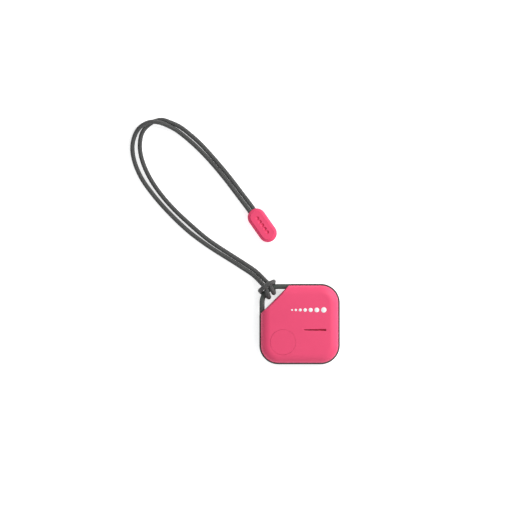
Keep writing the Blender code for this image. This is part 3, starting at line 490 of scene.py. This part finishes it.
def tag_outline(inset, cut_inset=None):
    """The tag's outline moved inwards by an inset. The diagonal wall may have an inset of its own."""
    half = TAG_SIDE / 2 - inset
    cut = (CUT_DISTANCE - (inset if cut_inset is None else cut_inset)) * math.sqrt(2)
    corners = [(-half, -half), (half, -half), (half, half), (half - cut, half), (-half, cut - half)]
    round_corner = TAG_CORNER - inset
    cut_corner = max(CUT_CORNER - inset, 0.3 * MM)
    return rounded_polygon(corners, [round_corner] * 3 + [cut_corner] * 2)


def tag_ring(inset, height, cut_inset=None):
    return [(x, y, height) for x, y in tag_outline(inset, cut_inset)]


def arc(centre, radius, first, last, steps):
    """Points of an arc in a profile, from one angle in degrees to another."""
    angles = [math.radians(first + (last - first) * k / steps) for k in range(steps + 1)]
    return [(centre[0] + radius * math.cos(a), centre[1] + radius * math.sin(a)) for a in angles]


def combine(target, other, operation):
    """Join another shape to the target or cut it out of it, and use the other shape up."""
    modifier = target.modifiers.new(other.name, "BOOLEAN")
    modifier.operation = operation
    modifier.solver = "EXACT"
    modifier.object = other
    settle(target)
    bpy.data.objects.remove(other, do_unlink=True)


def settle(target):
    """Turn a piece and its modifiers into one plain mesh."""
    seen = target.evaluated_get(bpy.context.evaluated_depsgraph_get())
    mesh = bpy.data.meshes.new_from_object(seen)
    target.modifiers.clear()
    target.data = mesh


SHARP_ANGLE = math.radians(48)    # edges that turn more than this stay sharp


def finish_shape(target):
    """Weld what the cuts left over and even out a piece's shading."""
    weld = target.modifiers.new("weld", "WELD")
    weld.merge_threshold = 0.002 * MM
    settle(target)
    target.data.shade_smooth()
    target.data.set_sharp_from_angle(angle=SHARP_ANGLE)
    normals = target.modifiers.new("normals", "WEIGHTED_NORMAL")
    normals.keep_sharp = True
    normals.weight = 80
    settle(target)


def put(piece, body, slot, *nodes):
    """Say which body a piece rides on and which CAD nodes it stands for, and hide those nodes. The slot
    argument is not used.
    """
    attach(piece, body)
    if nodes:
        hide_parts(*nodes)
    return piece


# ---------------------------------------------------------------- camera and light

def make_camera():
    """The camera looks straight down from far off, with the top of the picture towards +Y."""
    lens, sensor = 150.0, 36.0
    view_width = 232.96 * MM
    aimed_at = (-17.71 * MM, 28.66 * MM)
    aimed_height = 3.5 * MM
    camera = bpy.data.cameras.new("camera")
    camera.lens = lens
    camera.sensor_width = sensor
    camera.clip_start = 0.01
    camera.clip_end = 10.0
    made = bpy.data.objects.new("camera", camera)
    bpy.context.scene.collection.objects.link(made)
    made.location = (*aimed_at, aimed_height + view_width * lens / sensor)
    bpy.context.scene.camera = made


def soft_light(name, place, target, size, power, colour):
    lamp = bpy.data.lights.new(name, "AREA")
    lamp.shape = "DISK"
    lamp.size = size
    lamp.energy = power
    lamp.color = colour
    made = bpy.data.objects.new(name, lamp)
    bpy.context.scene.collection.objects.link(made)
    made.location = place
    made.rotation_euler = (Vector(target) - Vector(place)).to_track_quat("-Z", "Y").to_euler()


def make_studio():
    scene = bpy.context.scene
    scene.view_settings.view_transform = "Standard"
    world = bpy.data.worlds.new("studio")
    world.use_nodes = True
    backdrop = world.node_tree.nodes["Background"]
    backdrop.inputs["Color"].default_value = (0.98, 0.99, 1.0, 1.0)
    backdrop.inputs["Strength"].default_value = 0.36
    scene.world = world
    target = (-10 * MM, 20 * MM, 0)
    soft_light("key", (0.40, 0.26, 0.38), target, 0.30, 3.6, (1.0, 0.985, 0.97))
    soft_light("fill", (0.10, -0.42, 0.50), target, 0.50, 0.9, (0.97, 0.985, 1.0))

    made, tree, shader = blank_material("pale_tabletop")
    where = place_of(tree)
    patches = noise(tree, where, 0.02, 3.0)
    base = ramp(tree, patches, [(0.3, (0.90, 0.90, 0.905)), (0.7, (0.925, 0.925, 0.925))])
    tree.links.new(base, shader.inputs["Base Color"])
    shader.inputs["Roughness"].default_value = 0.75
    shader.inputs["Specular IOR Level"].default_value = 0.25
    shader.inputs["Emission Color"].default_value = (1.0, 1.0, 1.0, 1.0)
    shader.inputs["Emission Strength"].default_value = 0.62
    reach = 1.5
    corners = [(-reach, -reach, 0), (reach, -reach, 0), (reach, reach, 0), (-reach, reach, 0)]
    mesh = bpy.data.meshes.new("tabletop")
    mesh.from_pydata(corners, [], [(0, 1, 2, 3)])
    give_mesh("tabletop", mesh, made)


# ---------------------------------------------------------------- cord

CORD_RADIUS = 0.96 * MM           # of the sleeve's middle surface
BRAID_RELIEF = 0.06 * MM          # how far the strands rise above it and the crossings dip below
CORD_SEGMENTS = 48
RING_SPACING = 0.15 * MM


def knot_point(outward, along, height):
    """A point of the knot in metres, from its place round the loop bar's arc in mm."""
    centre = TAG_SIDE / 2 - TAG_CORNER
    arc_radius = TAG_CORNER - BAR_INSET
    angle = math.radians(KNOT_DEGREES) - along * MM / arc_radius
    reach = arc_radius + outward * MM
    return Vector((-centre + reach * math.cos(angle), centre + reach * math.sin(angle), height * MM))


def cord_route():
    """The whole cord from its first end in the cord end, through the knot, to its other end."""
    route = [Vector(point) * MM for point in reversed(STRAND_A_ROUTE)]
    route += [knot_point(*point) for point in KNOT_ROUTE]
    route += [Vector(point) * MM for point in STRAND_B_ROUTE]
    return route


def smooth_curve(route, steps=12):
    """Many points on one smooth curve that passes through a route's points (centripetal Catmull-Rom)."""
    padded = [2 * route[0] - route[1]] + list(route) + [2 * route[-1] - route[-2]]
    curve = []
    for before, start, end, after in zip(padded, padded[1:], padded[2:], padded[3:]):
        t1 = (start - before).length ** 0.5
        t2 = t1 + (end - start).length ** 0.5
        t3 = t2 + (after - end).length ** 0.5
        for k in range(steps):
            t = t1 + (t2 - t1) * k / steps
            first = before * ((t1 - t) / t1) + start * (t / t1)
            second = start * ((t2 - t) / (t2 - t1)) + end * ((t - t1) / (t2 - t1))
            third = end * ((t3 - t) / (t3 - t2)) + after * ((t - t2) / (t3 - t2))
            low = first * ((t2 - t) / t2) + second * (t / t2)
            high = second * ((t3 - t) / (t3 - t1)) + third * ((t - t1) / (t3 - t1))
            curve.append(low * ((t2 - t) / (t2 - t1)) + high * ((t - t1) / (t2 - t1)))
    curve.append(Vector(route[-1]))
    return curve


def evenly_spaced(curve, spacing):
    points = np.array([tuple(point) for point in curve])
    along = np.concatenate([[0], np.cumsum(np.linalg.norm(np.diff(points, axis=0), axis=1))])
    wanted = np.linspace(0, along[-1], round(along[-1] / spacing) + 1)
    return np.stack([np.interp(wanted, along, points[:, axis]) for axis in range(3)], axis=1), wanted


def unit(vectors):
    return vectors / np.linalg.norm(vectors, axis=-1, keepdims=True)


def braid_layout(turn, along):
    """Where a point of the sleeve is, counted in strands: round the cord, and along it."""
    return turn * CARRIERS, along / (2 * BRAID_STEP)


def braid_height(turn, along):
    """The braid's relief from 0 in the crossings' corners to 1 on a strand's back."""
    round_way, long_way = braid_layout(turn, along)
    lean_right = round_way + long_way
    lean_left = round_way - long_way
    over = (np.floor(lean_right) + np.floor(lean_left)) % 2
    right = lean_right % 1 - 0.5
    left = lean_left % 1 - 0.5
    across = np.where(over > 0.5, right, left)
    lengthwise = np.where(over > 0.5, left, right)
    round_back = np.sqrt(np.clip(1 - (1.96 * across) ** 2, 0, 1))
    return round_back * (0.5 + 0.5 * np.cos(math.pi * lengthwise) ** 0.8)


def make_cord(finishes):
    """One braided sleeve over the whole route, with the strands' relief in its mesh."""
    centres, along = evenly_spaced(smooth_curve(cord_route()), RING_SPACING)
    tangents = unit(np.gradient(centres, axis=0))
    normals = np.empty_like(centres)
    normal = unit(np.cross(tangents[0], (0.0, 0.0, 1.0)))
    for i, tangent in enumerate(tangents):
        normal = unit(normal - normal.dot(tangent) * tangent)
        normals[i] = normal
    sides = np.cross(tangents, normals)

    turns = np.arange(CORD_SEGMENTS) / CORD_SEGMENTS
    lift = braid_height(turns[None, :], along[:, None])
    radius = CORD_RADIUS + BRAID_RELIEF * (2 * lift - 1)
    cosines = np.cos(turns * math.tau)[None, :, None]
    sines = np.sin(turns * math.tau)[None, :, None]
    outward = normals[:, None, :] * cosines + sides[:, None, :] * sines
    rings = centres[:, None, :] + outward * radius[:, :, None]

    count = len(centres)
    index = np.arange(count * CORD_SEGMENTS).reshape(count, CORD_SEGMENTS)
    following = np.roll(index, -1, axis=1)
    quads = np.stack([index[:-1], following[:-1], following[1:], index[1:]], axis=-1).reshape(-1, 4)
    ends = [index[0][::-1].tolist(), index[-1].tolist()]
    mesh = bpy.data.meshes.new("strap_cord")
    mesh.from_pydata(rings.reshape(-1, 3).tolist(), [], quads.tolist() + ends)
    # The braid's height is also kept for the material, which paints shade in the crossings and highlight on
    # the strands' backs from it.
    mesh.attributes.new("lift", "FLOAT", "POINT").data.foreach_set("value", lift.ravel().astype(np.float32))

    column, row = np.meshgrid(np.arange(CORD_SEGMENTS), np.arange(count - 1))
    corner_columns = np.stack([column, column + 1, column + 1, column], axis=-1)
    corner_rows = np.stack([row, row, row + 1, row + 1], axis=-1)
    round_way, long_way = braid_layout(corner_columns / CORD_SEGMENTS, along[corner_rows])
    layout = np.stack([round_way, long_way], axis=-1).reshape(-1, 2)
    layout = np.concatenate([layout, np.zeros((2 * CORD_SEGMENTS, 2))])
    mesh.uv_layers.new(name="braid").uv.foreach_set("vector", layout.ravel().astype(np.float32))
    cord = give_mesh("strap_cord", mesh, finishes["cord"])
    return cord, centres


def rig_cord(cord, cord_end_pieces):
    """Bake the cord's placement into its mesh, and hide the CAD's own strap pieces."""
    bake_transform(cord)
    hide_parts("strap_hitch", "strap_strand_a", "strap_strand_b")


# ---------------------------------------------------------------- front cover, button and printed mark

def dome_height(x, y):
    """Height of the front cover's outer face over a point."""
    flat = TAG_SIDE / 2 - TAG_CORNER
    over_x = abs(x) - flat
    over_y = abs(y) - flat
    if over_x > 0 and over_y > 0:
        inset = TAG_CORNER - math.hypot(over_x, over_y)
    else:
        inset = TAG_SIDE / 2 - max(abs(x), abs(y))
    rise = min(max((inset - COVER_INSET) / DOME_WIDTH, 0), 1)
    return crowned(x, y, math.sqrt(1 - (1 - rise) ** 2))


def crowned(x, y, rise):
    """Height of a point of the dome, whose middle is a little higher than its shoulder."""
    shoulder = 16 * MM
    fall = CROWN * min((x * x + y * y) / shoulder ** 2, 1)
    return DOME_BOTTOM + (TAG_HEIGHT - DOME_BOTTOM - fall) * rise


def draped(points):
    return [(x, y, height - (TAG_HEIGHT - dome_height(x, y))) for x, y, height in points]


ABOVE_FRONT = 0.6 * MM            # how far the cover's cutters reach above it


def lip(radius):
    """A cutter's rounded lip: (how far out, how far below the surface) from the wall up past the surface."""
    angles = np.radians([0, 17, 34, 51, 68])
    steps = [(radius * (1 - math.cos(a)), radius * (1 - math.sin(a))) for a in angles]
    out, down = steps[-1]
    return steps + [(out + radius, down - 0.4 * radius), (out + radius, -ABOVE_FRONT)]


def dome_outline(wall, saving, angle):
    """Outline of the dome where its curve has turned by an angle, a wall's width in from the cover's side."""
    inset = COVER_INSET + wall + (DOME_WIDTH - saving) * (1 - math.cos(angle))
    cut_inset = wall + (CUT_DOME_WIDTH - saving) * (1 - math.cos(angle))
    return tag_outline(inset, cut_inset)


def front_cover(finishes):
    rings = []
    for angle in np.radians(np.linspace(90, 0, 9)):
        height = DOME_BOTTOM + (COVER_CEILING - DOME_BOTTOM) * math.sin(angle)
        rings.append([(x, y, height) for x, y in dome_outline(COVER_WALL, INNER_DOME_SAVING, angle)])
    edge = 0.1 * MM
    rings += [tag_ring(COVER_INSET + COVER_WALL, COVER_BOTTOM, COVER_WALL),
              tag_ring(COVER_INSET + edge, COVER_BOTTOM, edge),
              tag_ring(COVER_INSET, COVER_BOTTOM + edge, 0)]
    for angle in np.radians(np.linspace(0, 90, 21)):
        outline = dome_outline(0, 0, angle)
        rings.append([(x, y, crowned(x, y, math.sin(angle))) for x, y in outline])
    for part in (0.93, 0.84, 0.74, 0.63, 0.52, 0.41, 0.30, 0.19, 0.08):
        rings.append([(x * part, y * part, crowned(x * part, y * part, 1)) for x, y in outline])
    cover = loft("tag_front_cover", rings, finishes["cover"])

    low = COVER_CEILING - 1 * MM
    profile = [(0, low), (BUTTON_HOLE, low)]
    profile += [(BUTTON_HOLE + out, TAG_HEIGHT - down) for out, down in lip(BUTTON_EDGE)]
    profile.append((0, TAG_HEIGHT + ABOVE_FRONT))
    combine(cover, turned("button_hole", profile, BUTTON_PLACE, draped=True), "DIFFERENCE")
    slot_rings = [[(x, y, low) for x, y in capsule(SLOT_LENGTH, SLOT_WIDTHS, SLOT_PLACE)]]
    for out, down in lip(SLOT_EDGE):
        outline = capsule(SLOT_LENGTH, SLOT_WIDTHS, SLOT_PLACE, grow=out)
        slot_rings.append(draped([(x, y, TAG_HEIGHT - down) for x, y in outline]))
    combine(cover, loft("sound_slot", slot_rings), "DIFFERENCE")
    finish_shape(cover)
    return put(cover, "tag", "cover_pink", "front_cover")


def button_cap(finishes):
    top = TAG_HEIGHT
    post = BUTTON_POST_RADIUS
    foot = BUTTON_POST_BOTTOM
    edge = 0.1 * MM
    profile = [(0, foot), (post - edge, foot), (post, foot + edge), (post, BUTTON_HOLLOW_TOP),
               (BUTTON_HOLLOW, BUTTON_HOLLOW_TOP), (BUTTON_HOLLOW, FLANGE_BOTTOM),
               (FLANGE_RADIUS, FLANGE_BOTTOM), (FLANGE_RADIUS, FLANGE_TOP), (BUTTON_RADIUS, FLANGE_TOP)]
    profile += arc((BUTTON_RADIUS - BUTTON_EDGE, top - BUTTON_EDGE), BUTTON_EDGE, 0, 90, 5)
    profile += [(distance * MM, top) for distance in (5.2, 4.6, 3.9, 3.1, 2.3, 1.5, 0.7)] + [(0, top)]
    cap = turned("push_button", profile, BUTTON_PLACE, finishes["button"], draped=True)
    finish_shape(cap)
    return put(cap, "button", "cover_pink", "button_cap")


def printed_dots(finishes):
    """A printed row of dots that grow towards one end, where the real tag carries a word."""
    places = (-3.45, -1.75, 0.2, 2.4, 4.85, 7.6, 10.7)
    radii = (0.42, 0.54, 0.66, 0.78, 0.92, 1.06, 1.2)
    row = 6.4 * MM
    ink = 0.012 * MM
    dots = []
    for number, (x, radius) in enumerate(zip(places, radii)):
        reach = radius * MM
        profile = [(0, TAG_HEIGHT - 2 * ink), (reach, TAG_HEIGHT - 2 * ink), (reach, TAG_HEIGHT + 0.4 * ink),
                   (reach - ink, TAG_HEIGHT + ink), (0, TAG_HEIGHT + ink)]
        dots.append(turned(f"dot_{number}", profile, (x * MM, row), steps=40, draped=True))
    return put(joined("printed_dots", dots, finishes["ink"]), "tag", "cover_pink")


def joined(name, parts, finish):
    skin = bmesh.new()
    for part in parts:
        skin.from_mesh(part.data)
        bpy.data.objects.remove(part, do_unlink=True)
    made = from_bmesh(name, skin, finish)
    made.data.set_sharp_from_angle(angle=math.radians(40))
    return made


# ---------------------------------------------------------------- tray and loop bar

def loop_bar():
    """The bar that carries the tag's rounded corner on past the diagonal wall."""
    line = TAG_SIDE / 2 - BAR_INSET
    centre = TAG_SIDE / 2 - TAG_CORNER
    radius = TAG_CORNER - BAR_INSET
    steps = 48
    path = [(Vector((-line, BAR_ROOT)), Vector((-1, 0)))]
    for k in range(steps + 1):
        angle = math.pi - math.pi / 2 * k / steps
        outward = Vector((math.cos(angle), math.sin(angle)))
        path.append((Vector((-centre, centre)) + outward * radius, outward))
    path.append((Vector((-BAR_ROOT, line)), Vector((0, 1))))

    middle = (BAR_LOW + BAR_HIGH) / 2
    half_width = BAR_WIDTH / 2
    half_height = (BAR_HIGH - BAR_LOW) / 2
    corners = [(-half_width, -half_height), (half_width, -half_height), (half_width, half_height),
               (-half_width, half_height)]
    section = rounded_polygon(corners, [BAR_EDGE] * 4, steps=7)
    rings = [[(*(point + outward * across), middle + height) for across, height in section]
             for point, outward in path]
    return loft("loop_bar_shape", rings)


def polar(degrees, radius, place):
    angle = math.radians(degrees)
    return place[0] + radius * math.cos(angle), place[1] + radius * math.sin(angle)


def dimple(name, degrees, radius, face):
    """A cutter for a small round mark in a face that looks down, at an angle round the battery door."""
    profile = [(0, -1 * MM), (0.42 * MM, -1 * MM), (0.38 * MM, face + 0.05 * MM),
               (0.25 * MM, face + 0.15 * MM), (0, face + 0.19 * MM)]
    return turned(name, profile, polar(degrees, radius, DOOR_PLACE), steps=24)


def door_opening():
    """The round hole through the tray's floor, with a notch that lets each of the door's lugs out."""
    hole = DOOR_PLUG + DOOR_CLEARANCE
    notch = LUG_RADIUS + DOOR_CLEARANCE
    half_notch = (LUG_WIDTH_DEGREES + 3.0) / 2
    outline = []
    for i, lug in enumerate(LUG_DEGREES):
        middle = lug - DOOR_TURN_DEGREES
        following = LUG_DEGREES[(i + 1) % 3] + (360.0 if i == 2 else 0.0) - DOOR_TURN_DEGREES
        for radius, first, last in ((notch, middle - half_notch, middle + half_notch),
                                    (hole, middle + half_notch, following - half_notch)):
            outline += [polar(degrees, radius, DOOR_PLACE) for degrees in np.linspace(first, last, 24)]
    heights = (RECESS_TOP - 0.2 * MM, FLOOR_TOP + 1 * MM)
    return loft("door_opening", [[(x, y, height) for x, y in outline] for height in heights])


def rear_shell(finishes):
    rings = [tag_ring(REAR_EDGE * (1 - math.sin(a)), REAR_EDGE * (1 - math.cos(a)))
             for a in np.radians(np.linspace(0, 90, 11))]
    lip_radius = 0.18 * MM
    rings += [tag_ring(lip_radius * (1 - math.cos(a)), RIM_TOP - lip_radius * (1 - math.sin(a)))
              for a in np.radians(np.linspace(0, 90, 6))]
    above_rim = RIM_TOP + 1 * MM
    shell = loft("tag_rear_shell", rings, finishes["tray"])
    combine(shell, loop_bar(), "UNION")
    cavity = loft("tray_cavity", [
        tag_ring(TRAY_WALL, FLOOR_TOP),
        tag_ring(TRAY_WALL, LEDGE_TOP),
        tag_ring(RIM_WIDTH, LEDGE_TOP, CUT_RIM_WIDTH),
        tag_ring(RIM_WIDTH, above_rim, CUT_RIM_WIDTH),
    ])
    combine(shell, cavity, "DIFFERENCE")
    step_rings = [tag_ring(RIM_WIDTH + GAP, height, -GAP) for height in (CUT_RIM_TOP, above_rim)]
    combine(shell, loft("cover_step", step_rings), "DIFFERENCE")

    post_foot = FLOOR_TOP - 0.4 * MM
    post_top = BOARD_BOTTOM - GAP
    edge = 0.1 * MM
    profile = [(0, post_foot), (POST_RADIUS, post_foot), (POST_RADIUS, post_top - edge),
               (POST_RADIUS - edge, post_top), (PIN_RADIUS, post_top), (PIN_RADIUS, PIN_TOP - edge),
               (PIN_RADIUS - edge, PIN_TOP), (0, PIN_TOP)]
    for side_x, side_y in ((1, 1), (1, -1), (-1, -1)):
        post = turned("board_post", profile, (side_x * POST_PLACE, side_y * POST_PLACE), steps=32)
        combine(shell, post, "UNION")

    recess = DOOR_FLANGE + DOOR_CLEARANCE
    profile = [(0, -1 * MM), (recess + 0.8 * MM, -1 * MM), (recess + 0.3 * MM, -0.15 * MM),
               (recess, 0.15 * MM), (recess, RECESS_TOP), (0, RECESS_TOP)]
    combine(shell, turned("door_recess", profile, DOOR_PLACE, steps=128), "DIFFERENCE")
    combine(shell, door_opening(), "DIFFERENCE")
    for degrees in (POINTER_DEGREES, UNLOCKED_DEGREES):
        combine(shell, dimple("door_mark", degrees, LOCK_MARK_PLACE, 0), "DIFFERENCE")
    finish_shape(shell)
    return put(shell, "tag", "tray_grey", "rear_shell")


# ---------------------------------------------------------------- battery door

def battery_door(finishes):
    face = DOOR_FACE
    flange_edge = 0.2 * MM
    edge = 0.1 * MM
    wall = 10.3 * MM
    ring_floor = face + 0.08 * MM
    groove_inner = 12.3 * MM
    groove_outer = 12.8 * MM
    groove_floor = 0.3 * MM
    profile = [(distance * MM, face) for distance in (0, 1.5, 3, 4.5, 6, 7.5, 9, 9.9, 10.2)]
    profile += [(10.3 * MM, ring_floor), (10.5 * MM, ring_floor), (10.6 * MM, face), (11.2 * MM, face),
                (12.2 * MM, face)]
    profile += arc((DOOR_FLANGE - flange_edge, face + flange_edge), flange_edge, -90, 0, 5)
    profile += [(DOOR_FLANGE, DOOR_FLANGE_TOP), (groove_outer, DOOR_FLANGE_TOP),
                (groove_outer, groove_floor), (groove_inner, groove_floor),
                (groove_inner, DOOR_FLANGE_TOP), (DOOR_PLUG, DOOR_FLANGE_TOP),
                (DOOR_PLUG, DOOR_RIM_TOP - edge), (DOOR_PLUG - edge, DOOR_RIM_TOP),
                (wall + edge, DOOR_RIM_TOP), (wall, DOOR_RIM_TOP - edge), (wall, FLOOR_TOP), (0, FLOOR_TOP)]
    door = turned("battery_door_disc", profile, DOOR_PLACE, finishes["door"], steps=144)
    for middle in LUG_DEGREES:
        angles = np.linspace(middle - LUG_WIDTH_DEGREES / 2, middle + LUG_WIDTH_DEGREES / 2, 13)
        outline = [polar(degrees, LUG_RADIUS, DOOR_PLACE) for degrees in angles]
        outline += [polar(degrees, DOOR_PLUG - 0.4 * MM, DOOR_PLACE) for degrees in reversed(angles)]
        heights = (LUG_BOTTOM, DOOR_RIM_TOP - 0.05 * MM)
        lug = loft("door_lug", [[(x, y, height) for x, y in outline] for height in heights])
        combine(door, lug, "UNION")
    length = 13.0 * MM
    width = 1.6 * MM
    rings = []
    for grow, depth in ((0.8, -0.6), (0.15, -0.03), (0.04, 0.05), (0.0, 0.15), (0.0, 0.48), (-0.1, 0.6)):
        outline = capsule(length, (width, width), DOOR_PLACE, grow=grow * MM)
        rings.append([(x, y, face + depth * MM) for x, y in outline])
    combine(door, loft("coin_slot", rings), "DIFFERENCE")
    combine(door, dimple("door_pointer", POINTER_DEGREES, POINTER_PLACE, face), "DIFFERENCE")
    finish_shape(door)
    return put(door, "door", "door_grey", "battery_door")


# ---------------------------------------------------------------- cord end

def cord_end_ring(inset, height):
    widths = (CORD_END_WIDTH - 2 * inset,) * 2
    return [(x, y, height) for x, y in capsule(CORD_END_LENGTH - 2 * inset, widths, steps=28)]


def lower_half(finish):
    foot = 0.5 * MM
    top = CORD_END_SPLIT - CORD_END_GAP / 2
    rings = [cord_end_ring(foot * (1 - math.sin(a)), foot * (1 - math.cos(a)))
             for a in np.radians(np.linspace(0, 90, 7))]
    rings += [cord_end_ring(0, top - CORD_END_SEAM), cord_end_ring(CORD_END_SEAM, top)]
    return loft("cord_end_lower_half", rings, finish)


def upper_half(finish):
    """The half with a shoulder all round, and a panel that stands on it."""
    low = CORD_END_SPLIT + CORD_END_GAP / 2
    slope_start = 2.75 * MM
    slope_reach = 0.95 * MM
    shoulder = 3.85 * MM
    panel = 1.16 * MM
    panel_foot = shoulder + 0.2 * MM
    panel_edge = 0.15 * MM
    rings = [cord_end_ring(CORD_END_SEAM, low), cord_end_ring(0, low + CORD_END_SEAM)]
    rings += [cord_end_ring(slope_reach * (1 - math.cos(a)),
                            slope_start + (shoulder - slope_start) * math.sin(a))
              for a in np.radians(np.linspace(0, 90, 9))]
    rings += [cord_end_ring(panel - 0.1 * MM, shoulder),
              cord_end_ring(panel - 0.04 * MM, shoulder + 0.04 * MM), cord_end_ring(panel, panel_foot)]
    rings += [cord_end_ring(panel + panel_edge * (1 - math.cos(a)), panel_foot + panel_edge * math.sin(a))
              for a in np.radians(np.linspace(15, 90, 5))]
    lid = loft("cord_end_upper_half", rings, finish)

    top = CORD_END_HEIGHT
    profile = [(0, top - 0.6 * MM), (0.45 * MM, top - 0.55 * MM), (0.72 * MM, top - 0.35 * MM),
               (0.78 * MM, top - 0.1 * MM), (0.84 * MM, top - 0.03 * MM), (1.1 * MM, top + 0.1 * MM),
               (1.1 * MM, top + 1 * MM), (0, top + 1 * MM)]
    for distance in (-3.8, -1.9, 0, 1.9, 3.8):
        combine(lid, turned("dimple", profile, (distance * MM, 0), steps=32), "DIFFERENCE")
    return lid


def cord_channel():
    """A cutter for half of the cord's way in, with a flared mouth."""
    mouth = -CORD_END_LENGTH / 2
    rings = []
    for distance, grow in ((-1.0, 0.5), (0.0, 0.25), (0.25, 0.06), (0.5, 0.0), (CHANNEL_DEPTH / MM, 0.0)):
        half_width = (2.2 + grow) * MM
        half_height = (1.15 + grow) * MM
        corners = [(-half_width, -half_height), (half_width, -half_height), (half_width, half_height),
                   (-half_width, half_height)]
        section = rounded_polygon(corners, [half_height * 0.95] * 4, steps=8)
        rings.append([(mouth + distance * MM, y, CORD_END_SPLIT + z) for y, z in section])
    return loft("cord_channel", rings)


def cord_end(finishes):
    """Two halves that close on the cord's ends, made along X with the mouth at -X, and then turned."""
    base = lower_half(finishes["cord_end"])
    lid = upper_half(finishes["cord_end"])
    for piece in (base, lid):
        combine(piece, cord_channel(), "DIFFERENCE")
    peg_place = (CORD_END_LENGTH / 4, 0)
    peg_foot = 1.5 * MM
    peg_top = CORD_END_SPLIT + 1.0 * MM
    peg_edge = 0.15 * MM
    peg = 1.2 * MM
    socket = 1.35 * MM
    peg_profile = [(0, peg_foot), (peg, peg_foot), (peg, peg_top - peg_edge), (peg - peg_edge, peg_top),
                   (0, peg_top)]
    combine(base, turned("peg", peg_profile, peg_place, steps=40), "UNION")
    socket_profile = [(0, peg_foot), (socket, peg_foot), (socket, peg_top + GAP), (0, peg_top + GAP)]
    combine(lid, turned("socket", socket_profile, peg_place, steps=40), "DIFFERENCE")

    turn = math.atan2(CORD_END_AXIS[1], CORD_END_AXIS[0])
    for piece, node in ((base, "cord_end_base"), (lid, "cord_end_lid")):
        finish_shape(piece)
        for vertex in piece.data.vertices:
            x, y, z = vertex.co
            vertex.co = (CORD_END_PLACE[0] + x * math.cos(turn) - y * math.sin(turn),
                         CORD_END_PLACE[1] + x * math.sin(turn) + y * math.cos(turn), z)
        put(piece, "strap", "cord_end_pink", node)
    return [base, lid]


# ---------------------------------------------------------------- the frame's own pieces

NODE_FINISHES = {
    "cover_seal": "rubber", "cell_can": "cell_steel", "cell_gasket": "rubber", "cell_cap": "cell_steel",
    "cell_cathode": "powder", "cell_anode": "anode", "cell_holder": "holder", "positive_contact": "steel",
    "negative_contact": "steel", "circuit_board": "board", "radio_chip": "chip", "crystal": "steel",
    "chip_antenna": "ceramic", "antenna_capacitor": "ceramic", "antenna_inductor": "chip",
    "buzzer_driver": "chip", "supply_capacitor": "ceramic", "boost_inductor": "chip",
    "switch_body": "chip", "switch_frame": "steel", "switch_plunger": "plunger",
    "buzzer_plate": "brass", "buzzer_ceramic": "ceramic", "buzzer_ring": "rubber",
    "buzzer_spring_inner": "brass", "buzzer_spring_outer": "brass", "sound_mesh": "screen",
    "button_pad": "silicone", "door_seal": "rubber",
}


def finish_frame_nodes(finishes):
    for node, finish in NODE_FINISHES.items():
        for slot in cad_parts[node].material_slots:
            slot.material = finishes[finish]


def main():
    make_camera()
    finishes = make_finishes()
    cord, centres = make_cord(finishes)
    rig_cord(cord, cord_end(finishes))
    front_cover(finishes)
    button_cap(finishes)
    printed_dots(finishes)
    rear_shell(finishes)
    battery_door(finishes)
    finish_frame_nodes(finishes)
    make_studio()


main()
